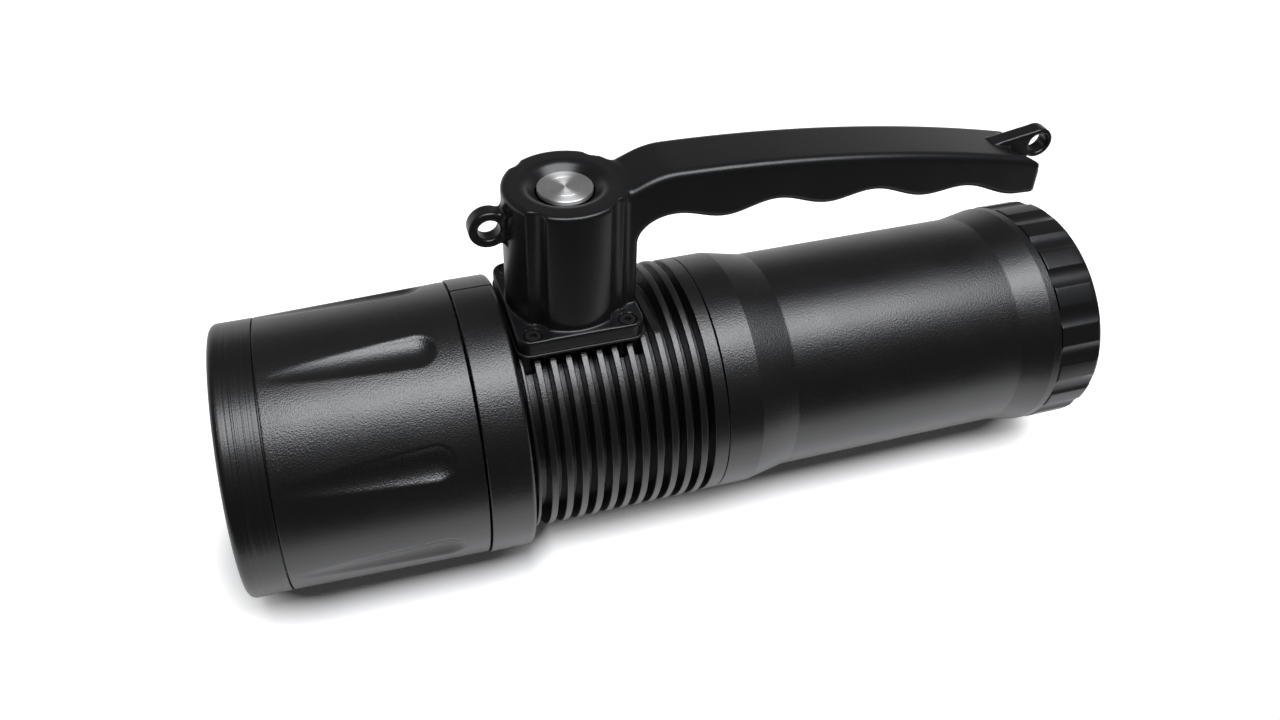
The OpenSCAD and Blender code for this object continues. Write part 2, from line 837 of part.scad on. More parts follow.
module lamp_dome() {
    color("#f2d64b")
        at_axis() {
            translate([-lamp_base_w / 2, -lamp_base_w / 2, throat_s])
                cube([lamp_base_w, lamp_base_w, lamp_base_t]);
            intersection() {
                translate([0, 0, throat_s])
                    sphere(d = lamp_dome_d, $fn = round_fn);
                translate([-lamp_base_w / 2, -lamp_base_w / 2, throat_s - lamp_dome_d])
                    cube([lamp_base_w, lamp_base_w, lamp_dome_d + lamp_base_t / 2]);
            }
        }
}

module lamp_screws() {
    color("#8d8f92")
        at_axis()
            at_lamp_screws()
                translate([0, 0, lamp_face_s])
                    socket_screw(lamp_screw_len, lamp_screw_d, lamp_screw_head_d, lamp_screw_head_t,
                                 lamp_screw_socket_w);
}

module lamp_leads() {
    color("#b03030")
        at_axis()
            for (x = [-1, 1])
                translate([x * lead_span / 2, wire_lead, pedestal_s])
                    cylinder(d = lead_d, h = driver_board_s - pedestal_s, $fn = small_fn);
}

// Driver

// Repeats a child at the three driver posts
module at_driver_posts() {
    for (i = [0 : driver_post_count - 1])
        rotate([0, 0, driver_post_turn + i * 360 / driver_post_count])
            translate([driver_post_lead, 0, 0])
                children();
}

module driver_board() {
    color("#1f5c3a")
        difference() {
            ring(driver_bore_d - 2 * clear_gap, 0, driver_board_s, driver_rear_s);
            at_axis()
                at_driver_posts()
                    translate([0, 0, driver_board_s - over])
                        cylinder(d = screw_d, h = board_t + 2 * over, $fn = small_fn);
        }
}

module driver_posts() {
    color("#c9a850")
        at_axis()
            at_driver_posts()
                translate([0, 0, driver_bore_s])
                    difference() {
                        cylinder(d = driver_post_d, h = driver_post_len, $fn = small_fn);
                        translate([0, 0, over])
                            cylinder(d = screw_d, h = driver_post_len, $fn = small_fn);
                    }
}

module driver_screws() {
    color("#8d8f92")
        at_axis()
            at_driver_posts()
                translate([0, 0, driver_rear_s])
                    mirror([0, 0, 1])
                        cap_screw(driver_screw_len);
}

module driver_coil() {
    color("#9a5b2a")
        at_axis()
            translate([coil_drop, 0, driver_rear_s + coil_wire_d / 2])
                rotate_extrude($fn = round_fn)
                    translate([(coil_d - coil_wire_d) / 2, 0])
                        square([coil_wire_d, coil_wire_d], center = true);
}

module driver_capacitors() {
    color("#2a3f70")
        at_axis()
            for (y = [-1, 1])
                translate([-capacitor_rise, y * capacitor_span / 2, driver_rear_s])
                    cylinder(d = capacitor_d, h = capacitor_len, $fn = small_fn);
}

// Bulkhead and front contact

module bulkhead() {
    color("#b9bbbe")
        ring(bulkhead_d - 2 * fit_gap, bush_d, bulkhead_s, bulkhead_s + bulkhead_t);
}

module bulkhead_ring() {
    color("#303234")
        ring(bulkhead_d - 2 * fit_gap, bulkhead_ring_bore_d, bulkhead_s + bulkhead_t, tube_spigot_end_s);
}

module contact_bush() {
    front_s = bulkhead_s;
    rear_s = bulkhead_s + bulkhead_t;
    bore_r = contact_d / 2;
    color("#e4e0d4")
        turned([[bore_r, front_s], [bush_d / 2, front_s], [bush_d / 2, rear_s], [bush_flange_d / 2, rear_s],
                [bush_flange_d / 2, rear_s + bush_flange_t], [bore_r, rear_s + bush_flange_t]]);
}

module front_contact() {
    color("#c9a850")
        ring(contact_d, 0, bulkhead_s - contact_tail_len, pack_s);
}

// Handle: base flange, post, grip and strap lugs, one casting

// Thickness of the grip at bump i and at the hollow in front of it
function bump_at(i) = bump_t + (bump_end_t - bump_t) * i / (bump_count - 1);
function hollow_at(i) = hollow_t + (hollow_end_t - hollow_t) * i / (bump_count - 1);

// Half a wave from one thickness to the next, as [distance, height] points
function wave(x0, t0, x1, t1) = [
    for (i = [1 : grip_steps])
        let (u = i / grip_steps, x = x0 + (x1 - x0) * u, w = (1 - cos(180 * u)) / 2)
            [x, crown(x) - t0 - (t1 - t0) * w]
];

// Distance of bump i and of the hollow in front of it from the button's axis
function bump_x(i) = bump_lead + i * bump_pitch;
function hollow_x(i) = i == 0 ? (web_lead + bump_lead) / 2 : bump_lead + (i - 1 / 2) * bump_pitch;

// Underside of the grip, from the web to the last bump
arch_low_h = crown(hollow_x(0)) - hollow_t - arch_rise;
grip_arch = [
    for (i = [0 : grip_steps])
        let (a = 180 - 90 * i / grip_steps)
            [hollow_x(0) + (hollow_x(0) - web_lead) * cos(a), arch_low_h + arch_rise * sin(a)]
];
grip_waves = [
    for (i = [0 : bump_count - 1]) each concat(
        wave(hollow_x(i), hollow_at(i), bump_x(i), bump_at(i)),
        i < bump_count - 1 ? wave(bump_x(i), bump_at(i), hollow_x(i + 1), hollow_at(i + 1)) : []
    )
];
lobe_h = crown(bump_x(bump_count - 1)) - bump_end_t;
grip_under = concat(
    [[0, flange_top_h - flange_t / 2], [web_lead, flange_top_h - flange_t / 2]],
    grip_arch,
    grip_waves,
    arc(grip_len - grip_corner, lobe_h + grip_corner, grip_corner, -90, 0, edge_steps)
);

// Side view of the grip, open above its top
module grip_side() {
    polygon(concat(grip_under, [[grip_len, 2 * crown_h], [0, 2 * crown_h]]));
}

// Extrudes a side view across the lamp
module across(width) {
    rotate([90, 0, 0])
        linear_extrude(width, center = true)
            children();
}

// Section of the grip and the web below it, its top along +X and the top's edges rolled
module grip_section() {
    half_w = grip_w / 2;
    depth = crown_h - flange_top_h + flange_t;
    translate([-depth, -half_w])
        square([depth - grip_edge, grip_w]);
    translate([-depth, grip_edge - half_w])
        square([depth, grip_w - 2 * grip_edge]);
    for (y = [-1, 1])
        translate([-grip_edge, y * (half_w - grip_edge)])
            circle(r = grip_edge, $fn = small_fn);
}

// The curved bar, cut to its finger grips below and to a ramp off the post's top
module grip() {
    front_turn = asin(crown_lead / crown_r);
    rear_turn = asin(grip_len / crown_r);
    difference() {
        intersection() {
            translate([crown_lead, 0, crown_h - crown_r])
                rotate([90, 0, 0])
                    rotate([0, 0, 90 - rear_turn])
                        rotate_extrude(angle = rear_turn + front_turn, $fn = 8 * round_fn)
                            translate([crown_r, 0])
                                grip_section();
            across(grip_w + 2 * over)
                grip_side();
        }
        translate([crown_lead, 0, crown_h])
            rotate([0, -ramp_angle, 0])
                translate([-crown_h, -grip_w, 0])
                    cube([2 * crown_h, 2 * grip_w, crown_h]);
    }
}

module post() {
    r = post_d / 2;
    foot_h = flange_top_h;
    rotate_extrude($fn = round_fn)
        polygon(concat(
            [[0, foot_h - flange_t / 2], [r + foot_edge, foot_h - flange_t / 2], [r + foot_edge, foot_h],
             [r, foot_h + foot_edge]],
            arc(r - post_edge, post_top_h - post_edge, post_edge, 0, 90, edge_steps),
            [[0, post_top_h]]
        ));
}

module front_lug() {
    r = front_lug_r;
    root_r = r + lug_flare;
    across(lug_t)
        difference() {
            union() {
                translate([-front_lug_lead, front_lug_h])
                    circle(r = r, $fn = round_fn);
                polygon([[-front_lug_lead, front_lug_h + r], [-lug_root_lead, front_lug_h + root_r],
                         [-lug_root_lead, front_lug_h - root_r], [-front_lug_lead, front_lug_h - r]]);
            }
            translate([-front_lug_lead, front_lug_h])
                circle(d = lug_hole_d, $fn = round_fn);
        }
}

module rear_lug() {
    r = rear_lug_r;
    across(lug_t)
        difference() {
            union() {
                translate([rear_lug_lead, rear_lug_h])
                    circle(r = r, $fn = round_fn);
                polygon([[rear_lug_lead, rear_lug_h + r], [tongue_lead, rear_lug_h + r - tongue_drop],
                         [tongue_lead, rear_lug_h - r - over], [grip_len - over, rear_lug_h - r - over],
                         [rear_lug_lead, rear_lug_h - r]]);
            }
            translate([rear_lug_lead, rear_lug_h])
                circle(d = lug_hole_d, $fn = round_fn);
        }
}

module handle() {
    low_h = flange_top_h - flange_t;
    color("#26282b")
        at_post() {
            difference() {
                union() {
                    translate([0, 0, low_h])
                        linear_extrude(flange_t)
                            flange_outline();
                    post();
                    grip();
                    front_lug();
                }
                translate([0, 0, low_h - over])
                    cylinder(d = post_bore_d, h = panel_low_h - low_h + over, $fn = round_fn);
                cylinder(d = switch_barrel_d + 2 * fit_gap, h = post_top_h, $fn = round_fn);
                translate([0, 0, recess_floor_h])
                    cylinder(d1 = recess_floor_d, d2 = recess_d, h = recess_t, $fn = round_fn);
                translate([0, 0, post_top_h])
                    cylinder(d = recess_d, h = crown_h, $fn = round_fn);
                at_base_screws() {
                    translate([0, 0, low_h - over])
                        cylinder(d = screw_d + 2 * screw_gap, h = flange_t + 2 * over, $fn = small_fn);
                    translate([0, 0, screw_seat_h])
                        cylinder(d = screw_head_d + 2 * counterbore_gap, h = flange_t, $fn = small_fn);
                    translate([0, 0, flange_top_h])
                        cylinder(r = key_groove_r, h = crown_h, $fn = round_fn);
                }
                translate([pocket_lead, 0, pocket_h])
                    cylinder(d = pocket_d, h = crown_h, $fn = round_fn);
            }
            rear_lug();
        }
}

module base_gasket() {
    color("#141414")
        at_post()
            translate([0, 0, plinth_top_h])
                linear_extrude(base_gasket_t)
                    difference() {
                        flange_outline();
                        circle(d = post_bore_d, $fn = round_fn);
                        at_base_screws()
                            circle(d = screw_d + 2 * screw_gap, $fn = small_fn);
                    }
}

module base_screws() {
    color("#1c1d1f")
        at_post()
            at_base_screws()
                translate([0, 0, screw_seat_h])
                    mirror([0, 0, 1])
                        cap_screw(base_screw_len);
}

// Switch

// A piece turned about the button's axis, from its [radius, height] outline
module turned_up(outline) {
    at_post()
        rotate_extrude($fn = round_fn)
            polygon(outline);
}

module switch_body() {
    pocket_r = button_d / 2 + fit_gap;
    head_r = switch_head_d / 2;
    barrel_r = switch_barrel_d / 2;
    color("#c9cbcd")
        turned_up([
            [0, barrel_low_h], [barrel_r, barrel_low_h], [barrel_r, head_low_h], [head_r, head_low_h],
            [head_r, disc_top_h - button_edge], [head_r - button_edge, disc_top_h],
            [pocket_r + button_edge, disc_top_h], [pocket_r, disc_top_h - button_edge],
            [pocket_r, button_pocket_h], [0, button_pocket_h]
        ]);
}

module switch_washer() {
    r = recess_floor_d / 2 - fit_gap;
    bore_r = switch_barrel_d / 2 + fit_gap;
    color("#141414")
        turned_up([[bore_r, recess_floor_h], [r, recess_floor_h], [r, head_low_h], [bore_r, head_low_h]]);
}

module switch_nut() {
    color("#b9bbbe")
        at_post()
            translate([0, 0, panel_low_h - nut_t])
                difference() {
                    cylinder(d = nut_w / cos(30), h = nut_t, $fn = 6);
                    translate([0, 0, -over])
                        cylinder(d = switch_barrel_d + 2 * fit_gap, h = nut_t + 2 * over, $fn = round_fn);
                }
}

module push_button() {
    r = button_d / 2;
    color("#c9cbcd")
        turned_up([[0, button_low_h], [r, button_low_h], [r, disc_top_h - button_edge],
                   [r - button_edge, disc_top_h], [0, disc_top_h]]);
}

module switch_spring() {
    r = spring_d / 2;
    bore_r = r - spring_wall;
    color("#8d8f92")
        turned_up([[bore_r, button_pocket_h], [r, button_pocket_h],
                   [r, button_low_h], [bore_r, button_low_h]]);
}

// Repeats a child at the switch's four terminals
module at_terminals() {
    for (x = [-1, 1])
        for (y = [-1, 1])
            translate([x * terminal_span / 2, y * terminal_span / 2, 0])
                children();
}

module switch_terminals() {
    color("#c9a850")
        at_post()
            at_terminals()
                translate([-terminal_t / 2, -terminal_w / 2, barrel_low_h - terminal_len])
                    cube([terminal_t, terminal_w, terminal_len]);
}

module switch_leads() {
    top_h = barrel_low_h - terminal_len;
    run = post_s - driver_rear_s - terminal_span / 2;
    color("#b03030")
        at_post()
            for (y = [-1, 1])
                translate([-terminal_span / 2, y * terminal_span / 2, switch_lead_h]) {
                    cylinder(d = lead_d, h = top_h - switch_lead_h, $fn = small_fn);
                    sphere(d = lead_d, $fn = small_fn);
                    rotate([0, -90, 0])
                        cylinder(d = lead_d, h = run, $fn = small_fn);
                }
}

// Battery tube

module battery_tube() {
    bore_r = tube_bore_d / 2;
    color("#36383b")
        turned([
            [bore_r, sink_rear_s + seam_gap],
            [tube_ring_d / 2, sink_rear_s + seam_gap], [tube_ring_d / 2, cone_s],
            [tube_d / 2, tube_s], [tube_d / 2, flare_s],
            [tube_end_d / 2, tube_end_s], [tube_end_d / 2, cap_s],
            [bore_r, cap_s]
        ]);
}

module tube_seal() {
    color("#141414")
        seal_ring(tube_bore_d / 2 - seal_t / 2 - fit_gap, seal_t, sink_rear_s + tube_seal_lead);
}

// Battery pack

// Repeats a child at the seven cells
module at_cells() {
    children();
    for (i = [0 : cell_ring_count - 1])
        rotate([0, 0, i * 360 / cell_ring_count])
            translate([cell_ring_lead, 0, 0])
                children();
}

module battery_cells() {
    r = cell_d / 2;
    color("#3f7fb0")
        at_axis()
            at_cells()
                translate([0, 0, cells_s])
                    rotate_extrude($fn = round_fn)
                        polygon([[0, 0], [r - cell_edge, 0], [r, cell_edge], [r, cell_len - cell_edge],
                                 [r - cell_edge, cell_len], [0, cell_len]]);
}

// A star of nickel strip from the middle cell to the others
module strip_star(s) {
    at_axis()
        translate([0, 0, s])
            linear_extrude(strip_t)
                for (i = [0 : cell_ring_count / 2 - 1])
                    rotate([0, 0, i * 360 / cell_ring_count])
                        square([2 * cell_ring_lead + strip_w, strip_w], center = true);
}

module cell_strips() {
    color("#c4c7ca") {
        strip_star(cells_s - strip_t);
        strip_star(strip_rear_s);
    }
}

module pack_sleeve() {
    color("#2f4f8f")
        ring(sleeve_d, sleeve_bore_d, pack_s, pack_end_s);
}

module pack_front_plate() {
    r = sleeve_bore_d / 2 - fit_gap;
    color("#1d1e20")
        turned([[pad_d / 2, pack_s], [r, pack_s], [r, pack_s + front_plate_t], [0, pack_s + front_plate_t],
                [0, pack_s + pad_t], [pad_d / 2, pack_s + pad_t]]);
}

// Place of the charging socket in the pack's rear plate
module at_socket() {
    at_axis()
        translate([-socket_lead, 0, rear_plate_s])
            children();
}

module pack_rear_plate() {
    r = sleeve_bore_d / 2 - fit_gap;
    color("#1d1e20")
        difference() {
            turned([[0, rear_plate_s], [r, rear_plate_s], [r, pack_end_s], [pad_d / 2, pack_end_s],
                    [pad_d / 2, pack_end_s - pad_t], [0, pack_end_s - pad_t]]);
            at_socket()
                translate([0, 0, -over])
                    cylinder(d = socket_d, h = rear_plate_t + 2 * over, $fn = small_fn);
        }
}

module pack_board() {
    color("#1f5c3a")
        ring(sleeve_bore_d - 2 * clear_gap, 0, pack_board_s, rear_plate_s);
}

module pack_contacts() {
    color("#c9a850") {
        ring(pad_d, 0, pack_s, pack_s + pad_t);
        ring(pad_d, 0, pack_end_s - pad_t, pack_end_s);
    }
}

module charge_socket() {
    color("#1d1e20")
        at_socket()
            difference() {
                cylinder(d = socket_d, h = rear_plate_t, $fn = small_fn);
                translate([0, 0, socket_rim_t])
                    difference() {
                        cylinder(d = socket_bore_d, h = rear_plate_t, $fn = small_fn);
                        translate([0, 0, -over])
                            cylinder(d = socket_pin_d, h = socket_pin_len + over, $fn = small_fn);
                    }
            }
}

// Tail cap

module tail_cap() {
    r = cap_d / 2;
    thread_r = tube_bore_d / 2 - fit_gap;
    recess_r = cap_recess_d / 2;
    seat_r = recess_r - board_seat_w;
    seat_s = tail_board_s + board_t;
    groove_s = cap_s - tail_seal_lead;
    groove_half = seal_t / 2 + fit_gap;
    groove_r = thread_r - seal_t - fit_gap;
    outline = concat(
        [[recess_r, cap_thread_s], [thread_r, cap_thread_s],
         [thread_r, groove_s - groove_half], [groove_r, groove_s - groove_half],
         [groove_r, groove_s + groove_half], [thread_r, groove_s + groove_half],
         [thread_r, cap_s + seam_gap], [r - head_edge, cap_s + seam_gap],
         [r, cap_s + seam_gap + head_edge]],
        arc(r - cap_edge, overall_len - cap_edge, cap_edge, 0, 90, edge_steps),
        [[0, overall_len], [0, cap_floor_s], [seat_r, cap_floor_s], [seat_r, seat_s], [recess_r, seat_s]]
    );
    color("#26282b")
        difference() {
            turned(outline);
            at_axis()
                for (i = [0 : cap_flute_count - 1])
                    at_angle(cap_land_angle + (i + 1 / 2) * 360 / cap_flute_count)
                        translate([r - cap_flute_depth + cap_flute_r, 0, cap_s - over])
                            cylinder(r = cap_flute_r, h = cap_len + 2 * over, $fn = round_fn);
        }
}

module tail_seal() {
    thread_r = tube_bore_d / 2 - fit_gap;
    color("#141414")
        seal_ring(thread_r - seal_t / 2, seal_t, cap_s - tail_seal_lead);
}

module tail_board() {
    color("#1f5c3a")
        ring(cap_recess_d - 2 * fit_gap, 0, tail_board_s, tail_board_s + board_t);
}

module tail_board_ring() {
    color("#303234")
        ring(cap_recess_d - 2 * fit_gap, tail_ring_bore_d, tail_board_s - tail_ring_t, tail_board_s);
}

module tail_spring() {
    color("#c4c7ca")
        ring(tail_spring_d, tail_spring_d - 2 * tail_spring_wall, pack_end_s + touch_gap, tail_board_s);
}

bezel_ring();
lens_gasket();
lens();
bezel_seal();
reflector();
head_shell();
head_seal();
collar();
collar_screw();
heat_sink();
lamp_board();
lamp_dome();
lamp_screws();
lamp_leads();
driver_board();
driver_posts();
driver_screws();
driver_coil();
driver_capacitors();
bulkhead();
bulkhead_ring();
contact_bush();
front_contact();
handle();
base_gasket();
base_screws();
switch_body();
switch_washer();
switch_nut();
push_button();
switch_spring();
switch_terminals();
switch_leads();
battery_tube();
tube_seal();
battery_cells();
cell_strips();
pack_sleeve();
pack_front_plate();
pack_rear_plate();
pack_board();
pack_contacts();
charge_socket();
tail_cap();
tail_seal();
tail_board();
tail_board_ring();
tail_spring();
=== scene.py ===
"""The looks of a rechargeable hand searchlight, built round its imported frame. Sizes are in millimetres."""
import json
import math

import bmesh
import bpy
import numpy as np
from mathutils import Matrix, Vector


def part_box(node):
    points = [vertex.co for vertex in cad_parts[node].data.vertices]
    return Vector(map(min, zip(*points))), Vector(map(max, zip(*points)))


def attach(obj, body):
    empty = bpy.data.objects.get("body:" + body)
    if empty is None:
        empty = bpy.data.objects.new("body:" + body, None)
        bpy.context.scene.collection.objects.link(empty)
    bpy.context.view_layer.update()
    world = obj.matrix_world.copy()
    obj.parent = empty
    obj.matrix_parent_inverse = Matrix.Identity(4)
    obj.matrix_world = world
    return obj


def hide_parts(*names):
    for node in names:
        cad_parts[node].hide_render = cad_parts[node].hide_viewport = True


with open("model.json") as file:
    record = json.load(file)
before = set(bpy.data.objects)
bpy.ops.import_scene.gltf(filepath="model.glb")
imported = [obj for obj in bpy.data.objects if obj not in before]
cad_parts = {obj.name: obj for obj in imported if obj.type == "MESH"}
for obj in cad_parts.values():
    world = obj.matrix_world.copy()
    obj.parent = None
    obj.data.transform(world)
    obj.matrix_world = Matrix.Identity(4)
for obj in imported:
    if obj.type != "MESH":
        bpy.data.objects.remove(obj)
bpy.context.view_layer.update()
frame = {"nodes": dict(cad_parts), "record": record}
MM = 0.001


# Frame


def low(node):
    return np.array(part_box(node)[0]) / MM


def high(node):
    return np.array(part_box(node)[1]) / MM


AXIS_Z = (low("collar")[2] + high("collar")[2]) / 2
POST_X = (low("push_button")[0] + high("push_button")[0]) / 2
FRONT_X = low("bezel_ring")[0]


# Meshes

SHARP_ANGLE = 32.0
CAST_SHARP_ANGLE = 60.0
MERGE_DISTANCE = 1e-7
TINY = 1e-6
OUT_OF_REACH = 1e3


def add_mesh(name, verts, quads, body, material, sharp=SHARP_ANGLE):
    """A mesh piece, smooth but for edges sharper than an angle in degrees, riding on a body."""
    mesh = bpy.data.meshes.new(name)
    mesh.from_pydata((np.asarray(verts, float) * MM).tolist(), [], [list(q) for q in quads])
    work = bmesh.new()
    work.from_mesh(mesh)
    bmesh.ops.remove_doubles(work, verts=work.verts, dist=MERGE_DISTANCE)
    bmesh.ops.recalc_face_normals(work, faces=work.faces)
    limit = math.radians(sharp)
    for face in work.faces:
        face.smooth = True
    for edge in work.edges:
        edge.smooth = len(edge.link_faces) == 2 and edge.calc_face_angle(0.0) < limit
    work.to_mesh(mesh)
    work.free()
    mesh.materials.append(material)
    piece = bpy.data.objects.new(name, mesh)
    bpy.context.scene.collection.objects.link(piece)
    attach(piece, body)
    return piece


def filleted(corners, steps=4):
    """An outline of [radius, x] from corners (radius, x, fillet radius), each corner's arc worked out."""
    out = []
    count = len(corners)
    for i, (r, x, fillet) in enumerate(corners):
        here = np.array([r, x], float)
        if fillet <= 0:
            out.append(here)
            continue
        to_last = np.array(corners[i - 1][:2], float) - here
        to_next = np.array(corners[(i + 1) % count][:2], float) - here
        to_last /= np.linalg.norm(to_last)
        to_next /= np.linalg.norm(to_next)
        half = math.acos(np.clip(to_last @ to_next, -1, 1)) / 2
        reach = fillet / math.tan(half)
        centre = here + (to_last + to_next) / np.linalg.norm(to_last + to_next) * fillet / math.sin(half)
        first = here + to_last * reach - centre
        last = here + to_next * reach - centre
        turn = math.atan2(first[0] * last[1] - first[1] * last[0], first @ last)
        for k in range(steps + 1):
            a = turn * k / steps
            spin = np.array([[math.cos(a), -math.sin(a)], [math.sin(a), math.cos(a)]])
            out.append(centre + spin @ first)
    return np.array(out)


def densified(outline, x0, x1, step):
    """The outline with its stretches between x0 and x1 cut into short steps along X."""
    out = []
    for a, b in zip(outline, np.roll(outline, -1, axis=0)):
        out.append(a)
        inside = min(a[1], b[1]) >= x0 - TINY and max(a[1], b[1]) <= x1 + TINY
        cuts = int(abs(b[1] - a[1]) / step) if inside else 0
        for k in range(1, cuts):
            out.append(a + (b - a) * k / cuts)
    return np.array(out)


def lathe(name, outline, body, material, turns=192, shape=None, gap=None, upright=False):
    """A closed outline of [radius, place along the axis] turned about the lamp's axis, or the button's upright one.

    shape(radius, along, angle) may change the radius. gap = (angle, width) leaves a slit across the ring.
    Angles count from the near side, upwards over the top.
    """
    outline = np.asarray(outline, float)
    if gap is None:
        angles = np.arange(turns) * 2 * math.pi / turns
    else:
        half = gap[1] / 2 / outline[:, 0].mean()
        angles = np.linspace(math.radians(gap[0]) + half, math.radians(gap[0]) + 2 * math.pi - half, turns)
    r = np.repeat(outline[:, :1], len(angles), axis=1)
    along = np.repeat(outline[:, 1:], len(angles), axis=1)
    a = np.repeat(angles[None, :], len(outline), axis=0)
    if shape is not None:
        r = shape(r, along, a)
    near, up = -np.cos(a) * r, np.sin(a) * r
    if upright:
        verts = np.stack([POST_X + up, near, along], axis=2)
    else:
        verts = np.stack([along, near, AXIS_Z + up], axis=2)
    rows, cols = r.shape
    index = np.arange(rows * cols).reshape(rows, cols)
    last_col = cols if gap is None else cols - 1
    quads = []
    for i in range(rows):
        upper, lower = index[i], index[(i + 1) % rows]
        for j in range(last_col):
            k = (j + 1) % cols
            quads.append((upper[j], upper[k], lower[k], lower[j]))
    if gap is not None:
        quads.append(tuple(index[:, 0]))
        quads.append(tuple(index[::-1, -1]))
    piece = add_mesh(name, verts.reshape(-1, 3), quads, body, material)
    piece.modifiers.new("flat faces stay flat", "WEIGHTED_NORMAL").keep_sharp = True
    return piece


# Signed distances, for the cast handle

FAR_OFF = 1e9
ROUNDS_ONTO_SURFACE = 3
PROBE_SHARE = 20
LEAST_SLOPE = 0.25


def round_both(a, b, radius):
    """Where two solids overlap, with the edge between them rounded."""
    return np.minimum(-radius, np.maximum(a, b)) + np.hypot(np.maximum(a + radius, 0), np.maximum(b + radius, 0))


def round_either(a, b, radius):
    """Two solids joined, with a fillet between them."""
    return np.maximum(radius, np.minimum(a, b)) - np.hypot(np.maximum(radius - a, 0), np.maximum(radius - b, 0))


def cut_away(a, b, radius):
    return round_both(a, -b, radius)


def outline_distance(x, z, points):
    """Signed distance from places in a plane to a closed outline, negative inside."""
    points = np.asarray(points, float)
    best = np.full(x.shape, FAR_OFF)
    inside = np.zeros(x.shape, bool)
    for (x0, z0), (x1, z1) in zip(points, np.roll(points, -1, axis=0)):
        ex, ez = x1 - x0, z1 - z0
        t = np.clip(((x - x0) * ex + (z - z0) * ez) / max(ex * ex + ez * ez, 1e-12), 0, 1)
        best = np.minimum(best, np.hypot(x - x0 - t * ex, z - z0 - t * ez))
        if z0 != z1:
            crosses = (z0 > z) != (z1 > z)
            inside ^= crosses & (x < x0 + (z - z0) * ex / ez)
    return np.where(inside, -best, best)


def surface_of(distance, lows, highs, cell):
    """Points and quads of the surface where distance(x, y, z) is zero: one point to a cell, then drawn onto it."""
    axes = [np.arange(lo, hi + cell, cell) for lo, hi in zip(lows, highs)]
    grid = np.meshgrid(*axes, indexing="ij", sparse=True)
    d = distance(*grid)
    inside = d < 0
    corners = [(i, j, k) for i in (0, 1) for j in (0, 1) for k in (0, 1)]
    cells = tuple(n - 1 for n in d.shape)

    def corner(values, c):
        return values[c[0]:c[0] + cells[0], c[1]:c[1] + cells[1], c[2]:c[2] + cells[2]]

    full = sum(corner(inside, c).astype(np.int8) for c in corners)
    mixed = (full > 0) & (full < 8)
    place = np.zeros(cells + (3,))
    hits = np.zeros(cells)
    for a in corners:
        for b in corners:
            if sum(b) != sum(a) + 1 or any(q < p for p, q in zip(a, b)):
                continue
            da, db = corner(d, a)[mixed], corner(d, b)[mixed]
            cross = (da < 0) != (db < 0)
            t = np.where(cross, da / np.where(cross, da - db, 1), 0)
            step = np.array(a)[None, :] + t[:, None] * (np.array(b) - np.array(a))[None, :]
            place[mixed] += step * cross[:, None]
            hits[mixed] += cross
    where = np.argwhere(mixed)
    points = np.array(lows) + (where + place[mixed] / hits[mixed][:, None]) * cell
    number = np.full(cells, -1)
    number[mixed] = np.arange(len(where))
    quads = []
    for axis in range(3):
        u, v = [k for k in range(3) if k != axis]
        ahead = np.take(inside, range(1, d.shape[axis]), axis)
        behind = np.take(inside, range(0, d.shape[axis] - 1), axis)
        edges = np.argwhere(ahead != behind)
        edges = edges[(edges[:, u] > 0) & (edges[:, v] > 0) & (edges[:, u] < cells[u]) & (edges[:, v] < cells[v])]
        ring = []
        for du, dv in ((1, 1), (0, 1), (0, 0), (1, 0)):
            at = edges.copy()
            at[:, u] -= du
            at[:, v] -= dv
            ring.append(number[at[:, 0], at[:, 1], at[:, 2]])
        quads.append(np.stack(ring, axis=1))
    probe = cell / PROBE_SHARE
    for _ in range(ROUNDS_ONTO_SURFACE):
        here = [points[:, k] for k in range(3)]
        value = distance(*here)
        slope = []
        for k in range(3):
            moved = list(here)
            moved[k] = moved[k] + probe
            slope.append((distance(*moved) - value) / probe)
        slope = np.stack(slope, axis=1)
        size = np.maximum((slope ** 2).sum(axis=1), LEAST_SLOPE)
        points = points - slope * np.clip(value / size, -cell / 2, cell / 2)[:, None]
    return points, np.concatenate(quads)


# Materials


class Tree:
    """A short way to write a node tree."""

    def __init__(self, tree):
        self.tree = tree

    def add(self, kind, **inputs):
        node = self.tree.nodes.new(kind)
        for key, value in inputs.items():
            node.inputs[key.replace("_", " ")].default_value = value
        return node

    def link(self, out, into):
        self.tree.links.new(out, into)

    def math(self, operation, a, b=None):
        node = self.add("ShaderNodeMath")
        node.operation = operation
        for socket, value in zip(node.inputs, (a, b)):
            if value is None:
                continue
            if isinstance(value, (int, float)):
                socket.default_value = value
            else:
                self.link(value, socket)
        return node.outputs[0]

    def spread(self, value, low_out, high_out, low_in=0.3, high_in=0.7):
        node = self.add("ShaderNodeMapRange")
        for key, number in (("From Min", low_in), ("From Max", high_in), ("To Min", low_out), ("To Max", high_out)):
            node.inputs[key].default_value = number
        self.link(value, node.inputs["Value"])
        return node.outputs["Result"]

    def apart(self, vector):
        node = self.add("ShaderNodeSeparateXYZ")
        self.link(vector, node.inputs[0])
        return node.outputs


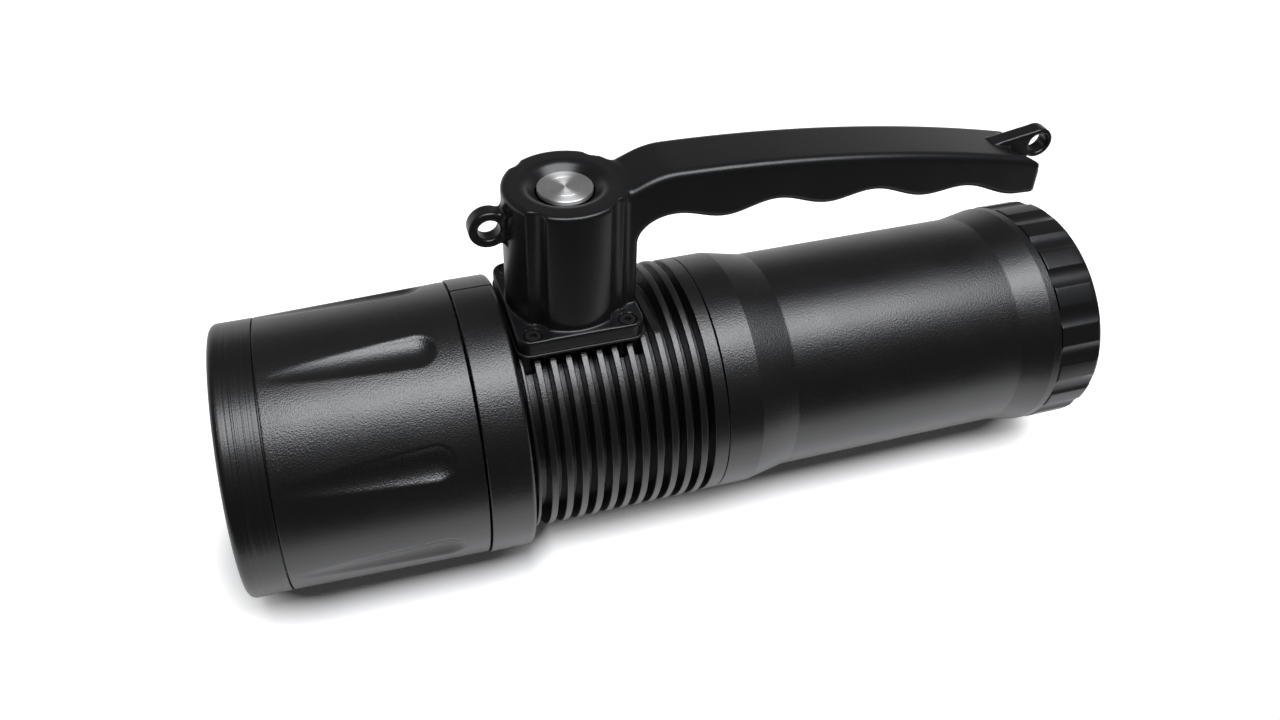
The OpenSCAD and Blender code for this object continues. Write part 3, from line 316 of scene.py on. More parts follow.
class Nodes(Tree):
    """A new material with its Principled shader."""

    def __init__(self, name):
        self.material = bpy.data.materials.new(name)
        self.material.use_nodes = True
        super().__init__(self.material.node_tree)
        self.shader = self.tree.nodes["Principled BSDF"]

    def coordinates(self):
        return self.add("ShaderNodeTexCoord").outputs["Object"]

    def noise(self, scale, detail=2.0, rough=0.5):
        node = self.add("ShaderNodeTexNoise", Scale=scale, Detail=detail, Roughness=rough)
        self.link(self.coordinates(), node.inputs["Vector"])
        return node.outputs["Fac"]

    def mix(self, share, a, b):
        node = self.add("ShaderNodeMix")
        node.data_type = "RGBA"
        self.link(share, node.inputs["Factor"])
        node.inputs["A"].default_value = (*a, 1)
        node.inputs["B"].default_value = (*b, 1)
        return node.outputs["Result"]

    def bump(self, height, depth, before=None):
        node = self.add("ShaderNodeBump", Strength=1.0, Distance=depth)
        self.link(height, node.inputs["Height"])
        if before is not None:
            self.link(before, node.inputs["Normal"])
        return node.outputs["Normal"]

    def rings(self, scale, detail, upright=False):
        """Noise that changes only along a turned piece or its radius, so that it draws the tool's rings."""
        parts = self.apart(self.coordinates())
        along, other, centre = ("Z", "X", POST_X) if upright else ("X", "Z", AXIS_Z)
        a = parts["Y"]
        b = self.math("SUBTRACT", parts[other], centre * MM)
        radius = self.math("SQRT", self.math("ADD", self.math("MULTIPLY", a, a), self.math("MULTIPLY", b, b)))
        node = self.add("ShaderNodeTexNoise", Scale=scale, Detail=detail)
        node.noise_dimensions = "1D"
        self.link(self.math("ADD", parts[along], radius), node.inputs["W"])
        return node.outputs["Fac"]

    def done(self, color, rough, normal=None, metallic=0.0, **constants):
        for value, key in ((color, "Base Color"), (rough, "Roughness")):
            if isinstance(value, float):
                self.shader.inputs[key].default_value = value
            else:
                self.link(value, self.shader.inputs[key])
        if normal is not None:
            self.link(normal, self.shader.inputs["Normal"])
        self.shader.inputs["Metallic"].default_value = metallic
        for key, value in constants.items():
            self.shader.inputs[key.replace("_", " ")].default_value = value
        return self.material


def blasted_metal(name):
    """Black anodising over bead blasting: a fine even grain that sparkles where light falls flat."""
    n = Nodes(name)
    grain = n.noise(2000.0, 1.0, 0.5)
    patch = n.noise(55.0, 3.0)
    color = n.mix(n.spread(n.noise(1700.0, 1.0), 0.0, 1.0), (0.0028, 0.0029, 0.0032), (0.005, 0.0052, 0.0058))
    return n.done(color, n.spread(patch, 0.30, 0.34), n.bump(grain, 0.00009), Specular_IOR_Level=0.85)


def turned_metal(name):
    """Black anodising over the lathe's fine rings."""
    n = Nodes(name)
    rings = n.rings(900.0, 4.0)
    grain = n.noise(1500.0, 1.0)
    color = n.mix(n.spread(rings, 0.0, 1.0), (0.003, 0.0031, 0.0034), (0.0052, 0.0054, 0.006))
    normal = n.bump(grain, 0.00003, before=n.bump(rings, 0.00012))
    return n.done(color, n.spread(n.noise(60.0), 0.30, 0.34), normal, Specular_IOR_Level=0.7)


def satin_metal(name):
    """Smooth satin black, with a faint cast ripple."""
    n = Nodes(name)
    ripple = n.noise(260.0, 3.0, 0.55)
    color = n.mix(n.noise(30.0), (0.0058, 0.006, 0.0065), (0.008, 0.0082, 0.0088))
    normal = n.bump(ripple, 0.00003, before=n.bump(n.noise(1300.0, 1.0), 0.00001))
    return n.done(color, n.spread(n.noise(45.0, 4.0), 0.28, 0.33), normal, Specular_IOR_Level=0.5)


def steel(name):
    """Stainless steel with lathe marks."""
    n = Nodes(name)
    line = n.rings(1500.0, 2.0, upright=True)
    color = n.mix(n.noise(400.0), (0.84, 0.84, 0.83), (0.93, 0.93, 0.92))
    return n.done(color, n.spread(line, 0.40, 0.48), n.bump(line, 0.00001), metallic=1.0, Anisotropic=0.8,
                  Anisotropic_Rotation=0.25)


def black_steel(name):
    """Black oxide with a slight gloss."""
    n = Nodes(name)
    color = n.mix(n.noise(900.0), (0.03, 0.03, 0.031), (0.06, 0.06, 0.062))
    return n.done(color, n.spread(n.noise(700.0), 0.24, 0.34), n.bump(n.noise(1500.0), 0.00002), metallic=0.7)


def coloured_metal(name, dark, light, rough_low, rough_high):
    n = Nodes(name)
    color = n.mix(n.noise(350.0, 3.0), dark, light)
    return n.done(color, n.spread(n.noise(900.0), rough_low, rough_high), n.bump(n.noise(1400.0), 0.00002),
                  metallic=1.0)


def mirror_coat(name):
    """Vacuum aluminium over a faint orange peel."""
    n = Nodes(name)
    peel = n.noise(420.0, 1.0)
    return n.done(n.mix(n.noise(40.0), (0.86, 0.87, 0.88), (0.93, 0.94, 0.95)), n.spread(peel, 0.03, 0.08),
                  n.bump(peel, 0.00012), metallic=1.0)


def glass(name):
    """Clear lens with a thin coating's tint and a little dust."""
    n = Nodes(name)
    dust = n.noise(700.0, 4.0, 0.7)
    color = n.mix(n.noise(25.0), (0.93, 0.97, 1.0), (0.97, 0.95, 1.0))
    return n.done(color, n.spread(dust, 0.0, 0.03, 0.55, 0.8), None, IOR=1.5, Transmission_Weight=1.0)


def rubber(name, rough_low=0.62, rough_high=0.8):
    n = Nodes(name)
    color = n.mix(n.noise(500.0, 3.0), (0.008, 0.008, 0.008), (0.014, 0.014, 0.014))
    return n.done(color, n.spread(n.noise(900.0), rough_low, rough_high), n.bump(n.noise(1600.0), 0.00002))


def plastic(name, dark, light, rough_low=0.4, rough_high=0.55):
    n = Nodes(name)
    color = n.mix(n.noise(180.0, 3.0), dark, light)
    return n.done(color, n.spread(n.noise(600.0), rough_low, rough_high), n.bump(n.noise(1200.0), 0.00003))


FINISHES = {
    "blasted_black": (blasted_metal,),
    "turned_black": (turned_metal,),
    "satin_black": (satin_metal,),
    "steel": (steel,),
    "black_steel": (black_steel,),
    "plain_aluminium": (coloured_metal, (0.60, 0.61, 0.62), (0.74, 0.75, 0.76), 0.25, 0.4),
    "brass": (coloured_metal, (0.62, 0.44, 0.17), (0.80, 0.60, 0.28), 0.2, 0.35),
    "copper_wire": (coloured_metal, (0.45, 0.17, 0.07), (0.62, 0.28, 0.13), 0.25, 0.4),
    "mirror_coat": (mirror_coat,),
    "lens_glass": (glass,),
    "rubber": (rubber,),
    "smooth_rubber": (rubber, 0.3, 0.4),
    "black_plastic": (plastic, (0.012, 0.012, 0.013), (0.025, 0.025, 0.026)),
    "white_plastic": (plastic, (0.70, 0.68, 0.62), (0.80, 0.78, 0.73)),
    "green_board": (plastic, (0.015, 0.11, 0.045), (0.03, 0.18, 0.08), 0.25, 0.4),
    "white_board": (plastic, (0.74, 0.75, 0.74), (0.85, 0.85, 0.84), 0.3, 0.45),
    "lamp_yellow": (plastic, (0.75, 0.52, 0.03), (0.90, 0.68, 0.08), 0.15, 0.25),
    "capacitor_blue": (plastic, (0.02, 0.04, 0.16), (0.04, 0.08, 0.26), 0.2, 0.35),
    "wire_red": (plastic, (0.38, 0.02, 0.02), (0.52, 0.04, 0.03), 0.35, 0.5),
    "cell_sleeve": (plastic, (0.03, 0.16, 0.34), (0.05, 0.24, 0.46), 0.2, 0.35),
    "pack_film": (plastic, (0.02, 0.06, 0.28), (0.04, 0.11, 0.40), 0.12, 0.3),
}
MATERIALS = {name: make(name, *values) for name, (make, *values) in FINISHES.items()}

for part in frame["record"]["subparts"]:
    shown = frame["nodes"][part["node"]]
    shown.data.materials.clear()
    shown.data.materials.append(MATERIALS[part["material_slot"]])


def dress(piece, slot_name, *nodes):
    """A new piece stands for CAD nodes, which it hides; slot_name is not used."""
    if nodes:
        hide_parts(*nodes)
    return piece


# Bezel

SEAM = 0.35
SEAM_DEPTH = 1.5
SEAM_CLOSED_TO = 0.03
BEZEL_R = high("bezel_ring")[1]
BEZEL_END = high("bezel_ring")[0]
LENS_FRONT = low("lens")[0]
LENS_R = high("lens")[1]
APERTURE_R = 41.0
SPIGOT_R = 44.48
BEZEL_ROUND = 2.4
BEZEL_REAR_ROUND = 0.3
BEZEL_SETBACK = 0.1
LENS_GASKET_T = 0.8
MOUTH_BEVEL_R, MOUTH_BEVEL_L = 1.6, 1.2
MOUTH_ROUND_IN, MOUTH_ROUND_OUT = 0.6, 0.5
# The turned lines, as shares of the bezel's length
BEZEL_GROOVES = (0.31, 0.43, 0.48, 0.66, 0.79)
GROOVE_W, GROOVE_DEPTH = 0.35, 0.09


def bezel():
    """The front ring, with a rounded rim, fine turned lines behind it and a lip that closes the seam's bottom."""
    lens_side = LENS_FRONT - LENS_GASKET_T
    corners = [
        (APERTURE_R, lens_side, 0), (APERTURE_R, FRONT_X + MOUTH_BEVEL_L, MOUTH_ROUND_IN),
        (APERTURE_R + MOUTH_BEVEL_R, FRONT_X, MOUTH_ROUND_OUT), (BEZEL_R, FRONT_X, BEZEL_ROUND),
    ]
    for share in BEZEL_GROOVES:
        x = FRONT_X + (BEZEL_END - FRONT_X) * share
        corners += [(BEZEL_R, x - GROOVE_W / 2, 0), (BEZEL_R - GROOVE_DEPTH, x, 0), (BEZEL_R, x + GROOVE_W / 2, 0)]
    rear, lip = BEZEL_END - BEZEL_SETBACK, BEZEL_END + SEAM - SEAM_CLOSED_TO
    corners += [(BEZEL_R, rear, BEZEL_REAR_ROUND), (BEZEL_R - SEAM_DEPTH, rear, 0), (BEZEL_R - SEAM_DEPTH, lip, 0),
                (SPIGOT_R, lip, 0), (SPIGOT_R, lens_side, 0)]
    ring = lathe("bezel", filleted(corners), "head", MATERIALS["turned_black"], turns=240)
    return dress(ring, "turned_black", "bezel_ring")


# Head

HEAD_END = high("head_shell")[0]
HEAD_START = BEZEL_END + SEAM
HEAD_R_FRONT = 48.0
HEAD_R_REAR = 49.5
HEAD_BORE_R = 42.08
HEAD_FRONT_ROUND, HEAD_REAR_ROUND = 0.35, 0.45
HEAD_STEP = 0.6
OUTER_SKIN = 4.0
FLUTES = 8
# The first flute's angle, the cutter's radius and depth, and how far its ball and tip stay from the head's ends
FLUTE_FIRST = 28.0
FLUTE_TOOL_R = 12.0
FLUTE_DEPTH = 2.4
FLUTE_BALL_BACK = 15.7
FLUTE_TIP_LEAD = 6.0
FLUTE_EDGE, FLUTE_EDGE_SHARE = 0.25, 0.2


def flute_radius(along, off):
    """Where a flute's cutter reaches, on the ray at an angle off the flute's middle."""
    ball_x = HEAD_END - FLUTE_BALL_BACK
    tip_x = HEAD_START + FLUTE_TIP_LEAD
    ball_r = HEAD_R_REAR - FLUTE_DEPTH + FLUTE_TOOL_R
    tip_r = HEAD_R_FRONT + FLUTE_TOOL_R
    t = (along - tip_x) / (ball_x - tip_x)
    centre = np.where(along < ball_x, tip_r + (ball_r - tip_r) * t, ball_r)
    tool = np.sqrt(np.maximum(FLUTE_TOOL_R ** 2 - np.maximum(along - ball_x, 0) ** 2, 0))
    under = tool ** 2 - (centre * np.sin(off)) ** 2
    reach = centre * np.cos(off) - np.sqrt(np.maximum(under, 0))
    return np.where(under > 0, reach, OUT_OF_REACH)


def fluted(r, along, angle):
    """The head's outer skin with its flutes cut in, their edges eased."""
    step = 2 * math.pi / FLUTES
    off = (angle - math.radians(FLUTE_FIRST) + step / 2) % step - step / 2
    cut = flute_radius(along, off)
    eased = np.minimum(r, cut) - FLUTE_EDGE * np.exp(-((r - cut) / FLUTE_EDGE) ** 2) * FLUTE_EDGE_SHARE
    return np.where((r > HEAD_BORE_R + OUTER_SKIN) & (cut < OUT_OF_REACH), eased, r)


def head():
    corners = [
        (HEAD_BORE_R, HEAD_START, 0), (HEAD_R_FRONT, HEAD_START, HEAD_FRONT_ROUND),
        (HEAD_R_REAR, HEAD_END, HEAD_REAR_ROUND), (HEAD_BORE_R, HEAD_END, 0),
    ]
    outline = densified(filleted(corners), HEAD_START, HEAD_END, HEAD_STEP)
    shell = lathe("head_shell_fluted", outline, "head", MATERIALS["blasted_black"], turns=480, shape=fluted)
    return dress(shell, "blasted_black", "head_shell")


# Collar

COLLAR_START = low("collar")[0]
COLLAR_END = high("collar")[0]
COLLAR_R = high("collar")[1]
COLLAR_FRONT_ROUND, COLLAR_REAR_ROUND = 0.5, 1.8
# Angle and width of the collar's slit
SLIT = (104.0, 0.8)


def collar():
    corners = [
        (HEAD_BORE_R, COLLAR_START, 0), (COLLAR_R, COLLAR_START, COLLAR_FRONT_ROUND),
        (COLLAR_R, COLLAR_END, COLLAR_REAR_ROUND), (HEAD_BORE_R, COLLAR_END, 0),
    ]
    outline = filleted(corners, steps=6)
    ring = lathe("split_collar", outline, "lamp_body", MATERIALS["blasted_black"], turns=240, gap=SLIT)
    return dress(ring, "blasted_black", "collar")


# Heat sink

BARREL_R = 42.0
BARREL_WALL = 6.0
BARREL_SETBACK = 0.2
FIN_R = 44.7
CORE_R = 37.4
FIN_COUNT = 11
FIN_PITCH = 5.42
FIN_W = 2.5
THIN_FIN_W = 1.3
FIN_LEAD = 7.6
FIN_ROOT, FIN_ROUND = 0.3, 0.45
END_RING = 5.2
END_RING_R = FIN_R - 0.3
TUBE_SEAM = 0.3
SINK_END = low("battery_tube")[0] - TUBE_SEAM
SPIGOT_REAR = high("heat_sink")[0]
SPIGOT_REAR_R = 37.9
SPIGOT_REAR_WALL = 7.0
EDGE = 0.35
GASKET_LOW = low("base_gasket")[2] - AXIS_Z
FLANGE_HALF_L = (high("base_gasket")[0] - low("base_gasket")[0]) / 2
FLANGE_HALF_W = high("base_gasket")[1]
PLINTH_LOW = 29.0
PLINTH_HALF_W = 17.0
PLINTH_CORNER, PLINTH_BEVEL = 1.5, 0.2
SCREW_SEAT_HALF_W = 19.6
SCREW_SEAT_L = 9.0
MILLED_HALF_H = 40.5
MILL_MARGIN = 1.0
LEAST_RISE = 0.2
GASKET_OUT = 0.4
GASKET_BEVEL = 0.4
CORNER_STEPS = 8
BEVEL_STEPS = 3


def under_flange(r, along, angle):
    """The fins under the handle's base, and the next one behind it, are milled flat."""
    first = COLLAR_END + FIN_LEAD
    middle = first + np.round((along - first) / FIN_PITCH) * FIN_PITCH
    under = (middle > POST_X - FLANGE_HALF_L - MILL_MARGIN) & (middle < POST_X + FLANGE_HALF_L + FIN_PITCH)
    covered = under & (np.sin(angle) * r > MILLED_HALF_H) & (r > CORE_R + MILL_MARGIN)
    return np.where(covered, MILLED_HALF_H / np.maximum(np.sin(angle), LEAST_RISE), r)


def heat_sink():
    """Barrel, fins, end ring and rear spigot. Fin -1 is a thin ring right behind the collar."""
    inner, start = BARREL_R - BARREL_WALL, COLLAR_START + BARREL_SETBACK
    corners = [(inner, start, 0), (BARREL_R, start, 0), (BARREL_R, COLLAR_END, 0), (CORE_R, COLLAR_END, 0)]
    for i in range(-1, FIN_COUNT):
        middle = COLLAR_END + FIN_LEAD + i * FIN_PITCH
        half = FIN_W / 2 if i >= 0 else THIN_FIN_W / 2
        front, rear = middle - half, middle + half
        corners += [(CORE_R, front, FIN_ROOT), (FIN_R, front, FIN_ROUND), (FIN_R, rear, FIN_ROUND),
                    (CORE_R, rear, FIN_ROOT)]
    ring_x = SINK_END - END_RING
    corners += [(CORE_R, ring_x, FIN_ROOT), (END_RING_R, ring_x, FIN_ROUND), (END_RING_R, SINK_END, EDGE),
                (SPIGOT_REAR_R, SINK_END, 0), (SPIGOT_REAR_R, SPIGOT_REAR, 0),
                (BARREL_R - SPIGOT_REAR_WALL, SPIGOT_REAR, 0)]
    body = lathe("finned_body", filleted(corners, steps=3), "lamp_body", MATERIALS["blasted_black"], turns=256,
                 shape=under_flange)
    return dress(body, "blasted_black", "heat_sink")


def rounded_block(lows, highs, corner, bevel):
    """Points and faces of a block with round upright corners and bevelled upper edges."""
    half_l, half_w = (highs[0] - lows[0]) / 2, (highs[1] - lows[1]) / 2
    cx, cy = (highs[0] + lows[0]) / 2, (highs[1] + lows[1]) / 2
    rim = []
    for turn, (sx, sy) in enumerate(((1, 1), (-1, 1), (-1, -1), (1, -1))):
        for k in range(CORNER_STEPS + 1):
            a = math.radians(90 * turn + 90 * k / CORNER_STEPS)
            rim.append((sx * (half_l - corner) + corner * math.cos(a), sy * (half_w - corner) + corner * math.sin(a)))
    rim = np.array(rim)
    rows = [(lows[2], 0.0)]
    for k in range(BEVEL_STEPS + 1):
        a = math.radians(90 * k / BEVEL_STEPS)
        rows.append((highs[2] - bevel + bevel * math.sin(a), bevel * (1 - math.cos(a))))
    verts = []
    for z, inset in rows:
        scale = np.array([1 - inset / half_l, 1 - inset / half_w])
        for x, y in rim * scale:
            verts.append((cx + x, cy + y, z))
    n = len(rim)
    faces = [(i * n + j, i * n + (j + 1) % n, (i + 1) * n + (j + 1) % n, (i + 1) * n + j)
             for i in range(len(rows) - 1) for j in range(n)]
    faces += [tuple(range(n))[::-1], tuple(range((len(rows) - 1) * n, len(rows) * n))]
    return verts, faces


def plinth():
    """The solid core under the handle, which is wider at the screws."""
    first, last, top = POST_X - FLANGE_HALF_L, POST_X + FLANGE_HALF_L, AXIS_Z + GASKET_LOW
    blocks = [(first, last, PLINTH_HALF_W)]
    blocks += [(x0, x0 + SCREW_SEAT_L, SCREW_SEAT_HALF_W) for x0 in (first, last - SCREW_SEAT_L)]
    verts, faces = [], []
    for x0, x1, half_w in blocks:
        lows, highs = (x0, -half_w, AXIS_Z + PLINTH_LOW), (x1, half_w, top)
        points, sides = rounded_block(lows, highs, PLINTH_CORNER, PLINTH_BEVEL)
        faces += [tuple(k + len(verts) for k in side) for side in sides]
        verts += points
    return dress(add_mesh("plinth", verts, faces, "lamp_body", MATERIALS["blasted_black"]), "blasted_black")


def gasket():
    """The gasket under the flange, whose rounded edge stands out a little and catches the light."""
    out = np.array([GASKET_OUT, GASKET_OUT, 0])
    lows, highs = low("base_gasket") - out, high("base_gasket") + out
    points, faces = rounded_block(lows, highs, FLANGE_CORNER, GASKET_BEVEL)
    piece = add_mesh("gasket", points, faces, "lamp_body", MATERIALS["smooth_rubber"])
    return dress(piece, "rubber", "base_gasket")


# Battery tube

TUBE_RING_R = 44.4
TUBE_R = 41.4
TUBE_END_R = 43.6
TUBE_BORE_R = 38.0
RING_LEN = 12.8
CONE_LEN = 15.0
STRAIGHT_LEN = 91.0
FLARE_LEN = 12.4
RING_BEND, TUBE_BEND, FLARE_BEND = 1.2, 5.0, 1.5


def battery_tube():
    start, end = low("battery_tube")[0], high("battery_tube")[0]
    ring_x = start - TUBE_SEAM + RING_LEN
    tube_x = ring_x + CONE_LEN
    flare_x = tube_x + STRAIGHT_LEN
    end_x = flare_x + FLARE_LEN
    corners = [
        (TUBE_BORE_R, start, 0), (TUBE_RING_R, start, EDGE), (TUBE_RING_R, ring_x, RING_BEND),
        (TUBE_R, tube_x, TUBE_BEND), (TUBE_R, flare_x, TUBE_BEND), (TUBE_END_R, end_x, FLARE_BEND),
        (TUBE_END_R, end, EDGE), (TUBE_BORE_R, end, 0),
    ]
    outline = filleted(corners, steps=6)
    tube = lathe("battery_tube_turned", outline, "lamp_body", MATERIALS["blasted_black"], turns=256)
    return dress(tube, "blasted_black", "battery_tube")


# Tail cap

CAP_START = high("battery_tube")[0] + SEAM
CAP_END = high("tail_cap")[0]
CAP_R = 43.8
CAP_THREAD_R = 37.9
CAP_FLUTES = 18
CAP_FIRST_LAND = 5.0
CAP_TOOL_R = 9.0
CAP_DEPTH = 1.1
CAP_STEP = 1.5
CAP_CAVITY_R = 33.0
CAP_WALL = 8.0
DISH_R, DISH_FOOT_R, DISH_DEPTH = 33.5, 33.0, 0.5
CAP_FRONT_ROUND, CAP_REAR_ROUND = 0.4, 2.2
DISH_ROUND, DISH_FOOT_ROUND = 0.3, 0.2
CAP_SKIN = 1.0


def cap_fluted(r, along, angle):
    step = 2 * math.pi / CAP_FLUTES
    off = (angle - math.radians(CAP_FIRST_LAND)) % step - step / 2
    centre = CAP_R - CAP_DEPTH + CAP_TOOL_R
    under = CAP_TOOL_R ** 2 - (centre * np.sin(off)) ** 2
    cut = np.where(under > 0, centre * np.cos(off) - np.sqrt(np.maximum(under, 0)), OUT_OF_REACH)
    return np.where((r > CAP_THREAD_R + CAP_SKIN) & (along >= CAP_START - TINY), np.minimum(r, cut), r)


def tail_cap():
    """The fluted cap, hollow in front, with a shallow dish in its rear face."""
    thread_x, floor_x, dish_x = low("tail_cap")[0], CAP_END - CAP_WALL, CAP_END - DISH_DEPTH
    corners = [
        (CAP_CAVITY_R, thread_x, 0), (CAP_THREAD_R, thread_x, CAP_FRONT_ROUND), (CAP_THREAD_R, CAP_START, 0),
        (CAP_R, CAP_START, CAP_FRONT_ROUND), (CAP_R, CAP_END, CAP_REAR_ROUND), (DISH_R, CAP_END, DISH_ROUND),
        (DISH_FOOT_R, dish_x, DISH_FOOT_ROUND), (0, dish_x, 0), (0, floor_x, 0), (CAP_CAVITY_R, floor_x, 0),
    ]
    outline = densified(filleted(corners, steps=6), CAP_START, CAP_END, CAP_STEP)
    cap = lathe("tail_cap_fluted", outline, "tail", MATERIALS["satin_black"], turns=720, shape=cap_fluted)
    return dress(cap, "satin_black", "tail_cap")


# Handle, in places relative to the button's axis and the lamp's axis

POST_R = 21.2
POST_TOP = 94.6
POST_EDGE = 1.4
POST_BORE_R = 14.0
PANEL_LOW = 84.0
RECESS_FLOOR = high("switch_washer")[2] - AXIS_Z
RECESS_FLOOR_R = 10.3
RECESS_R = 13.9
BARREL_HOLE_R = 8.1
FLANGE_TOP = 49.0
FLANGE_LOW = low("handle")[2] - AXIS_Z
FLANGE_CORNER = 5.0
SCREW_X, SCREW_Y = 16.5, 19.35
SEAT_H = 45.7
COUNTERBORE_R = 3.15
KEY_GROOVE_R = 5.7
GRIP_HALF_W = 11.6
GRIP_END = 175.5
# The grip's long curve: where it is highest, its height there and its radius
CROWN_X, CROWN_H, CROWN_R = 30.0, 99.0, 603.0
RAMP_SLOPE = math.tan(math.radians(24.0))
TOP_EDGE, UNDER_EDGE = 2.8, 1.8
BUMP_FIRST, BUMP_PITCH, BUMPS = 53.2, 37.3, 4
# The grip's thickness at its first and last bump, and in the hollows there
BUMP_T = (19.8, 15.8)
HOLLOW_T = (15.8, 12.4)
WEB_X, ARCH_RISE = 22.2, 9.5
POCKET_X, POCKET_R, POCKET_FLOOR = 176.5, 11.0, 77.4
LUG_HALF_T, LUG_HOLE_R = 3.0, 3.8
# A lug's place behind the button, its height and its radius
FRONT_LUG = (-26.3, 82.0, 6.8)
REAR_LUG = (178.6, 82.8, 5.8)
NECK_SHARE = 0.8
TONGUE_SLOPE = math.tan(math.radians(10.0))
# About the cosines of the tongue's slope and of half a right angle
TONGUE_SCALE, DIAGONAL = 0.98, 0.7
TONGUE_START, TONGUE_SINK, TONGUE_BACK = 160.0, 2.0, 1.0
# Rounded edges and fillets
TOP_BEND, GRIP_END_ROUND, POST_FILLET = 2.6, 2.0, 1.6
FLANGE_ROUND, FLANGE_FILLET, FOOT_ROUND = 0.7, 0.7, 0.3
FRONT_LUG_ROUND, FRONT_LUG_FILLET = 1.0, 2.4
REAR_LUG_ROUND, REAR_LUG_FILLET = 0.9, 0.8
LUG_HOLE_ROUND, POCKET_ROUND = 0.7, 0.8
RECESS_ROUND, BORE_ROUND, SEAT_ROUND, KEY_GROOVE_ROUND = 1.0, 0.2, 0.3, 0.4
# The grip's side view: how far its lines are drawn past it, where they close, and their steps
TOP_START, TOP_PAST, TOP_STEP, TOP_CLOSE = -30.0, 25.0, 2.0, -60.0
UNDER_START, UNDER_PAST, UNDER_STEP, UNDER_CLOSE = -40.0, 20.0, 1.5, 160.0
ARCH_STEPS, LAST_BUMP_PAST, UNDER_FALL = 16, 2.0, 1.5
CELL, QUICK_CELL, CELL_MARGIN = 0.62, 1.0, 1.5


def crown(x):
    """Height of the grip's long curve."""
    return CROWN_H - CROWN_R + np.sqrt(CROWN_R ** 2 - (x - CROWN_X) ** 2)


def grip_top(x):
    """Height of the grip's top: a ramp off the post that bends into the long curve."""
    ramp, curve = CROWN_H + (x - CROWN_X) * RAMP_SLOPE, crown(x)
    share = np.clip(0.5 + (curve - ramp) / (2 * TOP_BEND), 0, 1)
    return curve + (ramp - curve) * share - TOP_BEND * share * (1 - share)


def grip_thickness(x):
    """Thickness of the grip behind its first hollow: a wave between the hollows and the bumps."""
    t = (x - BUMP_FIRST) / ((BUMPS - 1) * BUMP_PITCH)
    bump = BUMP_T[0] + (BUMP_T[1] - BUMP_T[0]) * t
    hollow = HOLLOW_T[0] + (HOLLOW_T[1] - HOLLOW_T[0]) * t
    return (bump + hollow) / 2 + (bump - hollow) / 2 * np.cos((x - BUMP_FIRST) / BUMP_PITCH * 2 * math.pi)


def under_points():
    """Underside of the grip from the web's foot to past its end."""
    hollow_x = BUMP_FIRST - BUMP_PITCH / 2
    arch_z = crown(hollow_x) - grip_thickness(hollow_x) - ARCH_RISE
    points = [(WEB_X, FLANGE_LOW)]
    for k in range(ARCH_STEPS + 1):
        a = math.radians(180 - 90 * k / ARCH_STEPS)
        points.append((hollow_x + (hollow_x - WEB_X) * math.cos(a), arch_z + ARCH_RISE * math.sin(a)))
    last_x = BUMP_FIRST + (BUMPS - 1) * BUMP_PITCH + LAST_BUMP_PAST
    for x in np.arange(hollow_x + UNDER_STEP, last_x, UNDER_STEP):
        points.append((x, float(crown(x) - grip_thickness(x))))
    points.append((GRIP_END + UNDER_PAST, points[-1][1] - UNDER_FALL))
    return points


def grip_distance(x, y, z):
    """The web and the grip, between the top line and the underside."""
    flat_x, flat_z = np.broadcast_arrays(x, z)
    top_end, under_end = GRIP_END + TOP_PAST, GRIP_END + UNDER_PAST
    top_line = [(along, float(grip_top(along))) for along in np.arange(TOP_START, top_end, TOP_STEP)]
    top = outline_distance(flat_x, flat_z, top_line + [(top_end, TOP_CLOSE), (TOP_START, TOP_CLOSE)])
    under_line = [(UNDER_START, FLANGE_LOW)] + under_points()
    under_line += [(under_end, UNDER_CLOSE), (UNDER_START, UNDER_CLOSE)]
    under = outline_distance(flat_x, flat_z, under_line)
    side = y - GRIP_HALF_W
    grip = np.maximum(round_both(top, side, TOP_EDGE), round_both(under, side, UNDER_EDGE))
    return np.maximum(round_both(grip, x - GRIP_END, GRIP_END_ROUND), -x)


def flange_distance(x, y, z):
    qx, qy = np.abs(x) - FLANGE_HALF_L + FLANGE_CORNER, y - FLANGE_HALF_W + FLANGE_CORNER
    plan = np.hypot(np.maximum(qx, 0), np.maximum(qy, 0)) + np.minimum(np.maximum(qx, qy), 0) - FLANGE_CORNER
    return round_both(plan, z - FLANGE_TOP, FLANGE_ROUND)


def with_front_lug(solid, x, y, z):
    """Adds the eye on the front of the post, with a root that spreads into it."""
    lug_x, lug_h, lug_r = FRONT_LUG
    eye = np.hypot(x - lug_x, z - lug_h) - lug_r
    neck = np.maximum(np.abs(z - lug_h) - lug_r * NECK_SHARE, np.maximum(lug_x - x, x))
    eye = round_both(np.minimum(eye, neck), y - LUG_HALF_T, FRONT_LUG_ROUND)
    solid = round_either(solid, eye, FRONT_LUG_FILLET)
    return cut_away(solid, np.hypot(x - lug_x, z - lug_h) - LUG_HOLE_R, LUG_HOLE_ROUND)


def with_rear_lug(solid, x, y, z):
    """Cuts the pocket at the grip's end, then adds the tongue and the eye that stand in it."""
    pocket = np.maximum(np.hypot(x - POCKET_X, y) - POCKET_R, POCKET_FLOOR - z)
    solid = cut_away(solid, pocket, POCKET_ROUND)
    lug_x, lug_h, lug_r = REAR_LUG
    eye = np.hypot(x - lug_x, z - lug_h) - lug_r
    above = (z - lug_h - lug_r + (lug_x - x) * TONGUE_SLOPE) * TONGUE_SCALE
    tongue = np.maximum(above, np.maximum(x - lug_x, TONGUE_START - x))
    tongue = np.maximum(tongue, POCKET_FLOOR - TONGUE_SINK - z)
    tongue = np.maximum(tongue, (x - GRIP_END + TONGUE_BACK) * DIAGONAL - (z - lug_h + lug_r) * DIAGONAL)
    eye = round_both(np.minimum(eye, tongue), y - LUG_HALF_T, REAR_LUG_ROUND)
    solid = round_either(solid, eye, REAR_LUG_FILLET)
    return cut_away(solid, np.hypot(x - lug_x, z - lug_h) - LUG_HOLE_R, LUG_HOLE_ROUND)


